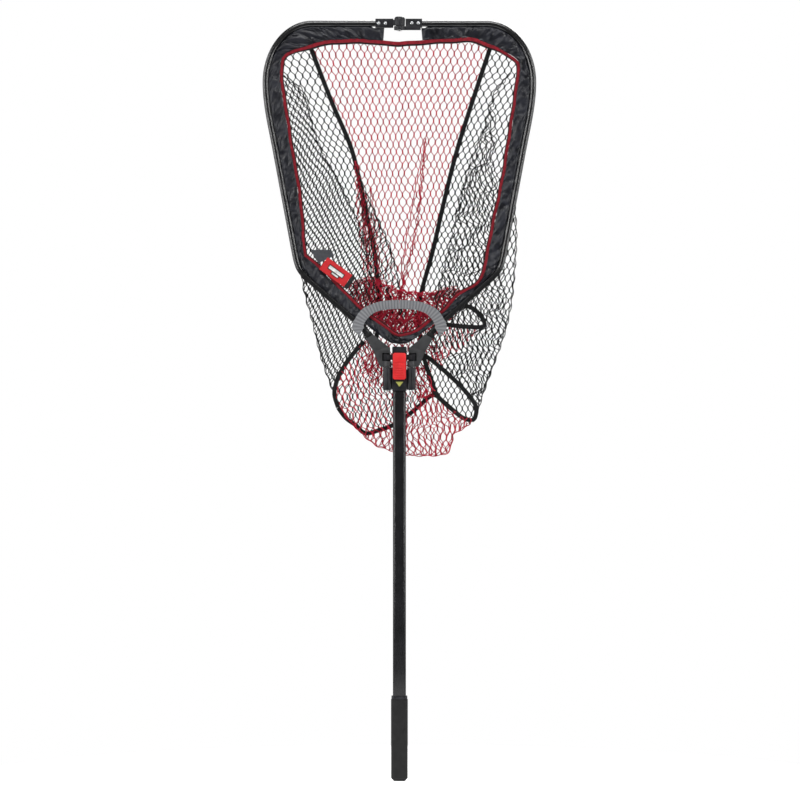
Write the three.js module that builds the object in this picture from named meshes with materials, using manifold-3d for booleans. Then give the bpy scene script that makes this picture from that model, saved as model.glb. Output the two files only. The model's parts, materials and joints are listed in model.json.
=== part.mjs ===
// Folding landing net. Millimetres, +Z up the handle, the frame in the XZ plane, the bag on the +Y side.
// Origin: centre of the grip's butt end.
import * as THREE from 'three';
import { mergeVertices } from 'three/addons/utils/BufferGeometryUtils.js';
import Module from 'manifold-3d';

const wasm = await Module();
wasm.setup();

// ---- Driving dimensions ------------------------------------------------------------------------------

const GAP = 0.3; // between neighbours that touch

// handle
const GRIP_WIDTH = 37;
const GRIP_LENGTH = 180;
const GRIP_ROUNDING = 6;
const GRIP_CHAMFER = 7;
const COLLAR_TOP = 187;
const TUBE_WIDTH = 28.7;
const TUBE_WALL = 1.6;
const TUBE_ROUNDING = 6;
const TUBE_BOTTOM = 10;
const TUBE_TOP = 885;

// head block
const BLOCK_HALF = 16;
const BLOCK_BACK = 17;
const BLOCK_BOTTOM = 860;
const BLOCK_TOP = 953;
const COVER_BACK = -14.5;
const COVER_FRONT = -17;
const TRACK_FRONT = -21;
const CAVITY_HALF = 11;
const CAVITY_BOTTOM = 890;
const CAVITY_BACK = 4;
const BARREL_RADIUS = 9.7;
const FOOT_RADIUS = 8.5;
const BARREL_BOTTOM = 862;
const BARREL_TOP = 911;

// fold axes: each runs from the middle of a barrel to the pivot of the tip hinge
const AXIS_Y = -12.5;
const BARREL_X = 26.5;
const AXIS_FOOT_Z = 886;
const PIVOT_Z = 1659;
const AXIS_TILT = Math.atan2(BARREL_X, PIVOT_Z - AXIS_FOOT_Z);
const PIN_RADIUS = 4;

// lock
const BUTTON_BOTTOM = 885;
const BUTTON_TOP = 943.5;
const BUTTON_FRONT = -24.5;
const BUTTON_TRAVEL = 10;
const BOLT_TRAVEL = 6;
const BOLT_Z = 934;
const PEG_X = 9;
const PEG_RADIUS = 1.5;
const NOTCH_RADIUS = 13.6;

// frame
const RAIL_WIDTH = 13.2;
const RAIL_DEPTH = 13;
const RAIL_WALL = 1.3;
const RAIL_TOP = 1676.7;
const RAIL_HALF_WIDTH = 302;
const CORNER_WIDTH = 109;
const CORNER_HEIGHT = 136;
const SLEEVE_DEPTH = 16;
const SLEEVE_INNER = 40;
const SLEEVE_INNER_AT_TOP = 47.7;
const BINDING_WIDTH = 8;
const BINDING_FRONT = -2;
const BINDING_BACK = 9.6;

// bag
const NET_THICKNESS = 1.5;
const NET_TOP = 1622;
const NET_FRONT = 10;
const NET_FRONT_BEHIND_BLOCK = 18.5;
const TAPE_WIDTH = 8.4;

// ---- Materials ----------------------------------------------------------------------------------------

const paint = (color, roughness, metalness) =>
  new THREE.MeshStandardMaterial({ color, roughness, metalness });

const BLACK_ALUMINIUM = paint(0x0b0b0c, 0.25, 0.6);
const BLACK_RUBBER = paint(0x1d1f20, 0.8, 0);
const BLACK_PLASTIC = paint(0x16171a, 0.5, 0);
const GREY_PLASTIC = paint(0x36383b, 0.6, 0);
const RED_PLASTIC = paint(0xe23230, 0.4, 0);
const LIME_PAINT = paint(0xa8b62c, 0.5, 0);
const STEEL = paint(0xc2c4c6, 0.3, 0.9);
const NYLON = paint(0x202126, 0.7, 0);
const RED_BINDING = paint(0x5e1420, 0.9, 0);
const BLACK_MESH = paint(0x131314, 0.9, 0);
const RED_MESH = paint(0xb32b3e, 0.9, 0);
const GREY_WEBBING = paint(0x84868a, 0.9, 0);
const RED_WOVEN = paint(0xcf2a30, 0.8, 0);

// ---- Shape helpers ------------------------------------------------------------------------------------

const net = new THREE.Group();

function add(name, geometry, material) {
  const mesh = new THREE.Mesh(geometry, material);
  mesh.name = name;
  net.add(mesh);
  return mesh;
}

// The solid of a closed geometry. One that a join or cut has made carries its own.
function solid(geometry) {
  if (geometry.userData.solid) return geometry.userData.solid;
  const bare = new THREE.BufferGeometry();
  bare.setAttribute('position', geometry.getAttribute('position'));
  if (geometry.index) bare.setIndex(geometry.index);
  const merged = mergeVertices(bare, 1e-4);
  return new wasm.Manifold(
    new wasm.Mesh({
      numProp: 3,
      vertProperties: new Float32Array(merged.attributes.position.array),
      triVerts: new Uint32Array(merged.index.array),
    }),
  );
}

function geometryOf(manifold) {
  const mesh = manifold.getMesh();
  const geometry = new THREE.BufferGeometry();
  geometry.setAttribute('position', new THREE.BufferAttribute(mesh.vertProperties, 3));
  geometry.setIndex(new THREE.BufferAttribute(mesh.triVerts, 1));
  geometry.userData.solid = manifold;
  return geometry;
}

const join = (first, ...others) =>
  geometryOf(others.reduce((all, other) => all.add(solid(other)), solid(first)));

const cut = (first, ...others) =>
  geometryOf(others.reduce((all, other) => all.subtract(solid(other)), solid(first)));

const common = (first, second) => geometryOf(solid(first).intersect(solid(second)));

function box(x0, x1, y0, y1, z0, z1) {
  return new THREE.BoxGeometry(x1 - x0, y1 - y0, z1 - z0).translate(
    (x0 + x1) / 2,
    (y0 + y1) / 2,
    (z0 + z1) / 2,
  );
}

// A round rod along Z, centred on x, y.
const rodZ = (x, y, z0, z1, radius, sides = 20) =>
  new THREE.CylinderGeometry(radius, radius, z1 - z0, sides)
    .rotateX(Math.PI / 2)
    .translate(x, y, (z0 + z1) / 2);

// A round rod along Y, centred on x, z.
const rodY = (x, z, y0, y1, radius, sides = 16) =>
  new THREE.CylinderGeometry(radius, radius, y1 - y0, sides).translate(x, (y0 + y1) / 2, z);

// A round part along the left fold axis, between two heights measured up that axis as z.
const rodOnAxis = (z0, z1, radius, sides = 24) =>
  rodZ(0, 0, z0 - AXIS_FOOT_Z, z1 - AXIS_FOOT_Z, radius, sides)
    .rotateY(AXIS_TILT)
    .translate(-BARREL_X, AXIS_Y, AXIS_FOOT_Z);

// A mirror image in the YZ plane, with its faces turned back out.
function mirrored(geometry) {
  const copy = (geometry.index ? geometry.toNonIndexed() : geometry.clone()).scale(-1, 1, 1);
  const position = copy.getAttribute('position').array;
  for (let corner = 0; corner < position.length; corner += 9) {
    for (let axis = 0; axis < 3; axis += 1) {
      const second = position[corner + 3 + axis];
      position[corner + 3 + axis] = position[corner + 6 + axis];
      position[corner + 6 + axis] = second;
    }
  }
  const bare = new THREE.BufferGeometry();
  bare.setAttribute('position', copy.getAttribute('position'));
  return bare;
}

function addPair(name, leftGeometry, material) {
  add(`left_${name}`, leftGeometry, material);
  add(`right_${name}`, mirrored(leftGeometry), material);
}

// A plate: an outline of [x, z] points pushed along Y, with its edges rounded by bevel.
function plate(outline, y0, y1, bevel = 0) {
  const shape = new THREE.Shape(outline.map(([x, z]) => new THREE.Vector2(x, z)));
  return new THREE.ExtrudeGeometry(shape, {
    depth: y1 - y0 - 2 * bevel,
    bevelEnabled: bevel > 0,
    bevelThickness: bevel,
    bevelSize: bevel,
    bevelOffset: -bevel,
    bevelSegments: 2,
    curveSegments: 6,
  })
    .rotateX(Math.PI / 2)
    .translate(0, y1 - bevel, 0);
}

// A square bar along Z with rounded corners.
function roundedBar(width, depth, rounding, z0, z1) {
  const x = width / 2;
  const y = depth / 2;
  const shape = new THREE.Shape();
  shape.moveTo(-x + rounding, -y);
  shape.lineTo(x - rounding, -y);
  shape.absarc(x - rounding, -y + rounding, rounding, -Math.PI / 2, 0);
  shape.lineTo(x, y - rounding);
  shape.absarc(x - rounding, y - rounding, rounding, 0, Math.PI / 2);
  shape.lineTo(-x + rounding, y);
  shape.absarc(-x + rounding, y - rounding, rounding, Math.PI / 2, Math.PI);
  shape.lineTo(-x, -y + rounding);
  shape.absarc(-x + rounding, -y + rounding, rounding, Math.PI, 1.5 * Math.PI);
  return new THREE.ExtrudeGeometry(shape, {
    depth: z1 - z0,
    bevelEnabled: false,
    curveSegments: 4,
  }).translate(0, 0, z0);
}

// The points of an [x, z] line moved sideways by a distance that may change along it.
function offset(points, distanceAt) {
  return points.map(([x, z], i) => {
    const before = points[Math.max(i - 1, 0)];
    const after = points[Math.min(i + 1, points.length - 1)];
    const into = [x - before[0], z - before[1]];
    const out = [after[0] - x, after[1] - z];
    const unit = ([a, b]) => {
      const length = Math.hypot(a, b) || 1;
      return [a / length, b / length];
    };
    const first = i === 0 ? unit(out) : unit(into);
    const second = i === points.length - 1 ? unit(into) : unit(out);
    const mid = unit([first[0] + second[0], first[1] + second[1]]);
    const widen = 1 / (mid[0] * first[0] + mid[1] * first[1]);
    const distance = distanceAt([x, z]) * widen;
    return [x - mid[1] * distance, z + mid[0] * distance];
  });
}

// ---- Handle -------------------------------------------------------------------------------------------

function chamferedGrip() {
  const half = GRIP_WIDTH / 2;
  const body = roundedBar(GRIP_WIDTH, GRIP_WIDTH, GRIP_ROUNDING, 0, GRIP_LENGTH);
  const taper = new THREE.CylinderGeometry(
    (half + GRIP_LENGTH) * Math.SQRT2,
    (half - GRIP_CHAMFER) * Math.SQRT2,
    GRIP_LENGTH + GRIP_CHAMFER,
    4,
  )
    .rotateY(Math.PI / 4)
    .rotateX(Math.PI / 2)
    .translate(0, 0, (GRIP_LENGTH + GRIP_CHAMFER) / 2);
  return common(body, taper);
}

const socket = (z0, z1) =>
  roundedBar(TUBE_WIDTH + 2 * GAP, TUBE_WIDTH + 2 * GAP, TUBE_ROUNDING + GAP, z0, z1);

const tubeBore = TUBE_WIDTH - 2 * TUBE_WALL;
const PLUG_WIDTH = tubeBore - 2 * GAP;

add(
  'handle_tube',
  cut(
    roundedBar(TUBE_WIDTH, TUBE_WIDTH, TUBE_ROUNDING, TUBE_BOTTOM, TUBE_TOP),
    roundedBar(tubeBore, tubeBore, TUBE_ROUNDING - TUBE_WALL, TUBE_BOTTOM - 1, TUBE_TOP + 1),
    rodY(0, 874, 5, 20, 2.8),
  ),
  BLACK_ALUMINIUM,
);
add('grip_sleeve', cut(chamferedGrip(), socket(TUBE_BOTTOM - GAP, GRIP_LENGTH + 1)), BLACK_RUBBER);
add(
  'butt_plug',
  roundedBar(PLUG_WIDTH, PLUG_WIDTH, TUBE_ROUNDING - TUBE_WALL, TUBE_BOTTOM, TUBE_BOTTOM + 12),
  BLACK_PLASTIC,
);
add(
  'grip_collar',
  cut(
    roundedBar(GRIP_WIDTH - 2, GRIP_WIDTH - 2, GRIP_ROUNDING, GRIP_LENGTH + GAP, COLLAR_TOP),
    socket(GRIP_LENGTH, COLLAR_TOP + 1),
  ),
  BLACK_PLASTIC,
);
add(
  'tube_plug',
  roundedBar(PLUG_WIDTH, PLUG_WIDTH, TUBE_ROUNDING - TUBE_WALL, TUBE_TOP - 7, TUBE_TOP + 0.6),
  BLACK_PLASTIC,
);

// ---- Head block ---------------------------------------------------------------------------------------

const SCREW_X = 13.4;
const SCREW_HEIGHTS = [904, 947.5];
const SOCKET_TOP = TUBE_TOP + 1;
const WINDOW = { z0: BOLT_Z - 6.3, z1: BOLT_Z + 6.3, y0: -14, y1: -4.2 };

// A slab whose underside lies square to the left fold axis at a height, used to trim what turns on it.
const aboveOnAxis = (z) =>
  box(-60, 60, -60, 60, z - AXIS_FOOT_Z, z - AXIS_FOOT_Z + 60)
    .rotateY(AXIS_TILT)
    .translate(-BARREL_X, AXIS_Y, AXIS_FOOT_Z);

function leftBarrel() {
  const post = rodZ(-BARREL_X, AXIS_Y, BARREL_BOTTOM, BARREL_TOP + 3, BARREL_RADIUS, 28);
  const web = box(-23, -14, COVER_BACK, -5, BARREL_BOTTOM + 2, BARREL_TOP - 4);
  return cut(join(post, web), aboveOnAxis(BARREL_TOP), rodOnAxis(850, 930, PIN_RADIUS + GAP));
}

function headBlock() {
  const core = box(-BLOCK_HALF, BLOCK_HALF, COVER_BACK + GAP / 3, BLOCK_BACK, BLOCK_BOTTOM, BLOCK_TOP);
  const backEdges = [-1, 1].map((side) =>
    box(-2.5, 2.5, -2.5, 2.5, BLOCK_BOTTOM - 1, BLOCK_TOP + 1)
      .rotateZ(Math.PI / 4)
      .translate(side * BLOCK_HALF, BLOCK_BACK, 0),
  );
  const cavity = box(
    -CAVITY_HALF, CAVITY_HALF, COVER_BACK - 1, CAVITY_BACK, CAVITY_BOTTOM, BLOCK_TOP + 1,
  );
  const windows = box(-20, 20, WINDOW.y0, WINDOW.y1, WINDOW.z0, WINDOW.z1);
  const screwHoles = SCREW_HEIGHTS.flatMap((z) =>
    [-SCREW_X, SCREW_X].flatMap((x) => [
      rodY(x, z, -20, BLOCK_BACK + 1, 1.5 + GAP, 12),
      rodY(x, z, BLOCK_BACK - 3, BLOCK_BACK + 1, 2.8 + GAP, 12),
    ]),
  );
  const barrel = leftBarrel();
  return cut(
    join(core, barrel, mirrored(barrel)),
    socket(BLOCK_BOTTOM - 1, SOCKET_TOP),
    cavity,
    windows,
    rodY(0, 874, 10, 20, 2.8),
    ...backEdges,
    ...screwHoles,
  );
}
add('head_block', headBlock(), BLACK_PLASTIC);

const ARROW = { top: 880, bottom: 869, half: 8.4 };
const arrowOutline = (grow) => [
  [-ARROW.half - grow, ARROW.top + grow * 0.6],
  [ARROW.half + grow, ARROW.top + grow * 0.6],
  [0, ARROW.bottom - grow],
];

function headCover() {
  const sheet = box(-BLOCK_HALF, BLOCK_HALF, COVER_FRONT, COVER_BACK, BLOCK_BOTTOM + 0.5, BLOCK_TOP);
  const tracks = [-1, 1].map((side) =>
    box(-0.65, 0.65, TRACK_FRONT, COVER_FRONT + 1, BUTTON_BOTTOM - BUTTON_TRAVEL, BLOCK_TOP).translate(
      side * (BLOCK_HALF - 0.65), 0, 0,
    ),
  );
  const bridge = box(
    -BLOCK_HALF, BLOCK_HALF, TRACK_FRONT, COVER_FRONT + 1, BUTTON_TOP + 1, BLOCK_TOP,
  );
  const lip = box(
    -BLOCK_HALF, BLOCK_HALF, COVER_FRONT - 1.5, COVER_FRONT + 1, BLOCK_BOTTOM + 0.5, BLOCK_BOTTOM + 3,
  );
  const stemSlot = box(-8.4, 8.4, -30, 0, 909 - BUTTON_TRAVEL - 0.4, 919.4);
  const blindHoles = SCREW_HEIGHTS.flatMap((z) =>
    [-SCREW_X, SCREW_X].map((x) => rodY(x, z, -15.9, COVER_BACK + 1, 1.5 + GAP, 12)),
  );
  return cut(
    join(sheet, ...tracks, bridge, lip),
    stemSlot,
    plate(arrowOutline(GAP), COVER_FRONT - 1, COVER_FRONT + 0.8),
    ...blindHoles,
  );
}
add('head_cover', headCover(), BLACK_PLASTIC);
add('arrow_inlay', plate(arrowOutline(0), COVER_FRONT - 0.1, COVER_FRONT + 0.5), LIME_PAINT);
add(
  'head_cap',
  plate(
    [
      [-BLOCK_HALF - 0.5, BLOCK_TOP + GAP],
      [BLOCK_HALF + 0.5, BLOCK_TOP + GAP],
      [BLOCK_HALF - 1, BLOCK_TOP + 4.4],
      [-BLOCK_HALF + 1, BLOCK_TOP + 4.4],
    ],
    TRACK_FRONT,
    BLOCK_BACK,
  ),
  BLACK_PLASTIC,
);

addPair(
  'hinge_pin',
  join(rodOnAxis(BARREL_BOTTOM - 0.6, 924.6, PIN_RADIUS), rodOnAxis(858.6, BARREL_BOTTOM - 0.5, 6)),
  STEEL,
);
addPair(
  'hinge_washer',
  cut(
    rodOnAxis(BARREL_TOP + 0.2, BARREL_TOP + 1.2, BARREL_RADIUS - 0.4),
    rodOnAxis(BARREL_TOP - 1, BARREL_TOP + 2, PIN_RADIUS + GAP),
  ),
  STEEL,
);

SCREW_HEIGHTS.flatMap((z) => [[-SCREW_X, z], [SCREW_X, z]]).forEach(([x, z], i) => {
  const shank = rodY(x, z, -15.6, BLOCK_BACK - 1, 1.5, 12);
  const head = rodY(x, z, BLOCK_BACK - 2.7, BLOCK_BACK - 0.4, 2.8, 12);
  const slot = box(x - 3, x + 3, BLOCK_BACK - 1.3, BLOCK_BACK, z - 0.4, z + 0.4);
  add(`cover_screw_${i + 1}`, cut(join(shank, head), slot), STEEL);
});
add(
  'tube_rivet',
  join(rodY(0, 874, 9, BLOCK_BACK + 0.3, 2.5), rodY(0, 874, BLOCK_BACK + 0.2, BLOCK_BACK + 1.2, 4)),
  STEEL,
);

// ---- Lock ---------------------------------------------------------------------------------------------

const CARRIAGE = { bottom: 909, top: 949, front: -3.2, back: 3.5 };
const STEM = { half: 8, z0: 909, z1: 919 };
const SPRING_NOTCH = { half: 3.7, top: 925 };

function releaseButton() {
  const half = BLOCK_HALF - 1.3 - GAP;
  const back = COVER_FRONT - GAP;
  const step = BUTTON_TOP - 20;
  const base = plate(
    [
      [-half + 3, BUTTON_BOTTOM],
      [half - 3, BUTTON_BOTTOM],
      [half, BUTTON_BOTTOM + 3],
      [half, BUTTON_TOP - 3],
      [half - 3, BUTTON_TOP],
      [-half + 3, BUTTON_TOP],
      [-half, BUTTON_TOP - 3],
      [-half, BUTTON_BOTTOM + 3],
    ],
    BUTTON_FRONT,
    back,
  );
  const hollow = box(-half - 1, half + 1, BUTTON_FRONT - 1, BUTTON_FRONT + 1.4, BUTTON_BOTTOM - 1, step);
  const ribs = Array.from({ length: 8 }, (_, i) => {
    const z = BUTTON_BOTTOM + 6 + i * 3.8;
    return box(-half + 1.5, half - 1.5, BUTTON_FRONT + 0.4, BUTTON_FRONT + 2, z - 0.9, z + 0.9);
  });
  const stem = box(-STEM.half, STEM.half, back - 1, CARRIAGE.front - GAP, STEM.z0, STEM.z1);
  return join(cut(base, hollow), ...ribs, stem);
}
add('release_button', releaseButton(), RED_PLASTIC);

// The slots slant so that a peg moves in by BOLT_TRAVEL while the carriage goes down by BUTTON_TRAVEL.
function slideCarriage() {
  const body = box(
    -CAVITY_HALF + 0.4, CAVITY_HALF - 0.4, CARRIAGE.front, CARRIAGE.back, CARRIAGE.bottom, CARRIAGE.top,
  );
  const reach = PEG_RADIUS + GAP;
  const slant = Math.atan2(BOLT_TRAVEL, BUTTON_TRAVEL);
  const slots = [-1, 1].flatMap((side) => {
    const length = Math.hypot(BOLT_TRAVEL, BUTTON_TRAVEL);
    const middle = [side * (PEG_X - BOLT_TRAVEL / 2), BOLT_Z + BUTTON_TRAVEL / 2];
    const run = box(-reach, reach, -10, 10, -length / 2, length / 2)
      .rotateY(-side * slant)
      .translate(middle[0], 0, middle[1]);
    const ends = [-1, 1].map((end) =>
      rodY(
        middle[0] - (side * end * BOLT_TRAVEL) / 2,
        middle[1] + (end * BUTTON_TRAVEL) / 2,
        -10,
        10,
        reach,
      ),
    );
    return [run, ...ends];
  });
  const springNotch = box(
    -SPRING_NOTCH.half, SPRING_NOTCH.half, -10, 10, CARRIAGE.bottom - 1, SPRING_NOTCH.top,
  );
  return cut(body, springNotch, ...slots);
}
add('slide_carriage', slideCarriage(), BLACK_PLASTIC);

function lockBolt() {
  const shank = box(-28, -7, -13.5, -4.5, BOLT_Z - 6, BOLT_Z + 6);
  const head = plate(
    [
      [-35, BOLT_Z - 6.5],
      [-33.5, BOLT_Z - 8],
      [-27, BOLT_Z - 8],
      [-27, BOLT_Z + 8],
      [-33.5, BOLT_Z + 8],
      [-35, BOLT_Z + 6.5],
    ],
    -14.2,
    -4.2,
  );
  const peg = rodY(-PEG_X, BOLT_Z, -6, CARRIAGE.back - 0.5, PEG_RADIUS);
  return join(shank, head, peg);
}
addPair('lock_bolt', lockBolt(), BLACK_PLASTIC);

// The return spring, standing on the floor of the cavity and reaching up into the carriage.
class Helix extends THREE.Curve {
  getPoint(t, target = new THREE.Vector3()) {
    const turn = 2 * Math.PI * SPRING_TURNS * t;
    const height = SPRING_TOP - SPRING_BOTTOM - 1;
    return target.set(2.3 * Math.cos(turn), 0.15 + 2.3 * Math.sin(turn), SPRING_BOTTOM + 0.5 + height * t);
  }
}
const SPRING_BOTTOM = CAVITY_BOTTOM + 0.2;
const SPRING_TOP = SPRING_NOTCH.top - GAP;
const SPRING_TURNS = 7;
const wire = new THREE.Shape().absarc(0, 0, 0.4, 0, 2 * Math.PI);
add(
  'release_spring',
  new THREE.ExtrudeGeometry(wire, { steps: 84, curveSegments: 3, extrudePath: new Helix() }),
  STEEL,
);

// ---- Frame halves -------------------------------------------------------------------------------------

// The outer edge of the left rail, from the tip round to the end that sits in the arm.
function railEdge(start) {
  const path = new THREE.Path();
  path.moveTo(start, RAIL_TOP);
  path.lineTo(-RAIL_HALF_WIDTH + CORNER_WIDTH, RAIL_TOP);
  path.absellipse(
    -RAIL_HALF_WIDTH + CORNER_WIDTH, RAIL_TOP - CORNER_HEIGHT, CORNER_WIDTH, CORNER_HEIGHT,
    Math.PI / 2, Math.PI, false,
  );
  path.bezierCurveTo(-RAIL_HALF_WIDTH, 1490, -289.2, 1440, -280, 1391);
  path.lineTo(-239, 1171);
  path.bezierCurveTo(-231.7, 1131.7, -229, 1122, -203, 1099);
  return path;
}

const pointsOf = (path) => {
  const points = path.getPoints(5).map((point) => [point.x, point.y]);
  return points.filter(([x, z], i) => i === 0 || Math.hypot(x - points[i - 1][0], z - points[i - 1][1]) > 0.5);
};

// A band between two offsets of a line.
function band(points, near, far) {
  return [...offset(points, near), ...offset(points, far).reverse()];
}

const MIDDLE = -0.2; // where the left half of a soft part meets the right half
const RAIL_START = 17;
const ARM_FACE = [-65.8, 979.7];
const RAIL_END = [-55.7, 962.4];
const RAIL_END_SIDE = [0.863, 0.504]; // inwards, square to the rail's last stretch
const RAIL_END_ALONG = [0.504, -0.863];

const tipRivets = [[-45.7, 'left'], [-30.7, 'left'], [27.1, 'right'], [41.7, 'right']];
const RIVET_Z = 1671.5;
const ARM_RIVET = [
  ARM_FACE[0] + 8 * RAIL_END_ALONG[0],
  ARM_FACE[1] + 8 * RAIL_END_ALONG[1],
];

function leftRail() {
  const path = railEdge(-RAIL_START);
  path.lineTo(-84.3, 994.4);
  path.quadraticCurveTo(-79.5, 990.2, -76.3, 984.7);
  path.lineTo(
    RAIL_END[0] - (RAIL_WIDTH / 2) * RAIL_END_SIDE[0],
    RAIL_END[1] - (RAIL_WIDTH / 2) * RAIL_END_SIDE[1],
  );
  const edge = pointsOf(path);
  const longer = [[edge[0][0] + 2, edge[0][1]], ...edge.slice(1, -1)];
  const last = edge[edge.length - 1];
  longer.push([last[0] + 2 * RAIL_END_ALONG[0], last[1] + 2 * RAIL_END_ALONG[1]]);
  const half = RAIL_DEPTH / 2;
  return cut(
    plate(band(edge, () => 0, () => RAIL_WIDTH), -half, half, 2.6),
    plate(
      band(longer, () => RAIL_WALL, () => RAIL_WIDTH - RAIL_WALL),
      -half + RAIL_WALL,
      half - RAIL_WALL,
      1.5,
    ),
    rodY(ARM_RIVET[0], ARM_RIVET[1], 3, 20, 2.3, 12),
  );
}
const railShape = leftRail();
const rivetHoles = (side) =>
  tipRivets
    .filter(([, where]) => where === side)
    .map(([x]) => rodY(x, RIVET_Z - 1, -20, -3, 2.3, 12));
add('left_rail', cut(railShape, ...rivetHoles('left')), BLACK_ALUMINIUM);
add('right_rail', cut(mirrored(railShape), ...rivetHoles('right')), BLACK_ALUMINIUM);

// The straight stretch of rail that a socket, ferrule or loop sits on, from its end face towards the tip.
function roundRail(from, to, clearance, centre = ARM_FACE, along = RAIL_END_ALONG) {
  const angle = Math.atan2(along[1], along[0]);
  const half = RAIL_WIDTH / 2 + clearance;
  const depth = RAIL_DEPTH / 2 + clearance;
  return box(from, to, -depth, depth, -half, half)
    .rotateY(-angle)
    .translate(centre[0], 0, centre[1]);
}

function leftArm() {
  const outline = [
    [-73.9, 974.9],
    [-58.5, 949],
    [-51, 932],
    [-44.5, 917],
    [-41, 912.4],
    [-20, 912.4],
    [-20, 940],
    [-20.5, 954],
    [-57.7, 984.4],
  ];
  const lower = [
    [-54, 947],
    [-51, 932],
    [-44.5, 917],
    [-41, 912.4],
    [-20, 912.4],
    [-20, 948],
    [-25, 957],
  ];
  const body = join(
    plate(outline, -9.5, 9.5),
    plate(lower, COVER_FRONT, 0),
    rodOnAxis(905, 925.2, FOOT_RADIUS),
  );
  const belowFoot = box(-60, 60, -60, 60, -60, BARREL_TOP + 1.5 - AXIS_FOOT_Z)
    .rotateY(AXIS_TILT)
    .translate(-BARREL_X, AXIS_Y, AXIS_FOOT_Z);
  return cut(
    body,
    belowFoot,
    rodOnAxis(900, 926, PIN_RADIUS + GAP),
    rodOnAxis(925.2, 943, NOTCH_RADIUS, 32),
    box(-BARREL_X, 0, -30, AXIS_Y + 8, 925.5, 943),
    roundRail(-5, 21, GAP),
    rodY(ARM_RIVET[0], ARM_RIVET[1], 3, 20, 2.3, 12),
  );
}
addPair('arm', leftArm(), GREY_PLASTIC);
addPair('arm_rivet', rodY(ARM_RIVET[0], ARM_RIVET[1], 3.6, 9.4, 2, 12), STEEL);
addPair('rail_collar', cut(roundRail(-9, -GAP, 2), roundRail(-20, 5, GAP)), BLACK_RUBBER);

// ---- Tip hinge ----------------------------------------------------------------------------------------

const BRACKET = { z0: 1661.4, z1: 1680.4, half: 8.8 };
const KNUCKLE_RADIUS = 11.8;
const LEAF = { z0: 1655.5, z1: 1663.5 };
const DOME_TOP = 1685;

// A round part along one half's own fold axis at the tip.
const rodAtTip = (side, z0, z1, radius, sides = 28) =>
  rodZ(0, 0, z0 - PIVOT_Z, z1 - PIVOT_Z, radius, sides)
    .rotateY(-side * AXIS_TILT)
    .translate(0, AXIS_Y, PIVOT_Z);

const railSocket = (x0, x1) =>
  box(
    x0, x1, -RAIL_DEPTH / 2 - GAP, RAIL_DEPTH / 2 + GAP, RAIL_TOP - RAIL_WIDTH - GAP, RAIL_TOP + GAP,
  );

function leftTipBracket() {
  const dome = new THREE.LatheGeometry(
    [
      [0, 1665],
      [KNUCKLE_RADIUS, 1665],
      [KNUCKLE_RADIUS, DOME_TOP - 5],
      [KNUCKLE_RADIUS - 1.5, DOME_TOP - 2],
      [KNUCKLE_RADIUS - 5, DOME_TOP - 0.4],
      [0, DOME_TOP],
    ].map(([radius, z]) => new THREE.Vector2(radius, z - PIVOT_Z)),
    28,
  )
    .rotateX(Math.PI / 2)
    .rotateY(AXIS_TILT)
    .translate(0, AXIS_Y, PIVOT_Z);
  const body = box(-53, -13.5, -BRACKET.half, BRACKET.half, BRACKET.z0, BRACKET.z1);
  const web = box(-14.5, -6, AXIS_Y + 2.2, AXIS_Y + 9, 1665.4, 1678);
  return cut(
    join(dome, body, web),
    railSocket(-60, -RAIL_START + 0.5),
    rodAtTip(-1, 1660, 1677, 3.5 + GAP, 16),
    ...rivetHoles('left'),
  );
}
add('left_tip_bracket', leftTipBracket(), BLACK_PLASTIC);

function rightTipBracket() {
  const body = box(13.5, 50, -BRACKET.half, BRACKET.half, BRACKET.z0, BRACKET.z1);
  const leaf = box(2, 47, AXIS_Y + 1.6, AXIS_Y + 9.5, LEAF.z0, LEAF.z1);
  const knuckle = rodAtTip(1, LEAF.z0, LEAF.z1, KNUCKLE_RADIUS);
  return cut(
    join(body, leaf, knuckle),
    railSocket(RAIL_START - 0.5, 60),
    rodAtTip(1, 1650, 1664.5, 4.2, 16),
    ...rivetHoles('right'),
  );
}
add('right_tip_bracket', rightTipBracket(), BLACK_PLASTIC);
add(
  'tip_pin',
  join(rodAtTip(-1, 1654, 1676.4, 3.5, 16), rodAtTip(-1, 1653, 1654.8, 5.5, 16)),
  STEEL,
);
add(
  'tip_washer',
  cut(rodAtTip(-1, 1664.3, 1664.8, 9, 20), rodAtTip(-1, 1660, 1670, 3.5 + GAP, 16)),
  STEEL,
);
tipRivets.forEach(([x], i) => {
  const profile = [[0, 0], [4, 0], [3.4, 1], [2, 1.5], [0, 1.7]];
  const head = new THREE.LatheGeometry(profile.map(([r, h]) => new THREE.Vector2(r, h)), 16)
    .rotateX(Math.PI)
    .translate(x, -BRACKET.half - 0.1, RIVET_Z - 1);
  add(`tip_rivet_${i + 1}`, join(head, rodY(x, RIVET_Z - 1, -BRACKET.half - 0.3, -4, 2, 12)), STEEL);
});

// ---- Sleeve, binding, strap and tag ---------------------------------------------------------------------

const smooth = (t) => {
  const held = Math.min(Math.max(t, 0), 1);
  return held * held * (3 - 2 * held);
};
const sleeveInner = ([, z]) =>
  SLEEVE_INNER + (SLEEVE_INNER_AT_TOP - SLEEVE_INNER) * smooth((z - 1560) / 90);

// The inner edge of the left sleeve, moved in by a distance, from x0 at the top to the middle of the V.
function innerEdge(more, x0 = MIDDLE) {
  const path = railEdge(x0);
  path.lineTo(-102, 1010);
  path.lineTo(0, 920);
  const points = offset(pointsOf(path), (point) => sleeveInner(point) + more);
  const [beyond, last] = [points.pop(), points[points.length - 1]];
  const share = (MIDDLE - last[0]) / (beyond[0] - last[0]);
  return [...points, [MIDDLE, last[1] + share * (beyond[1] - last[1])]];
}

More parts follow.
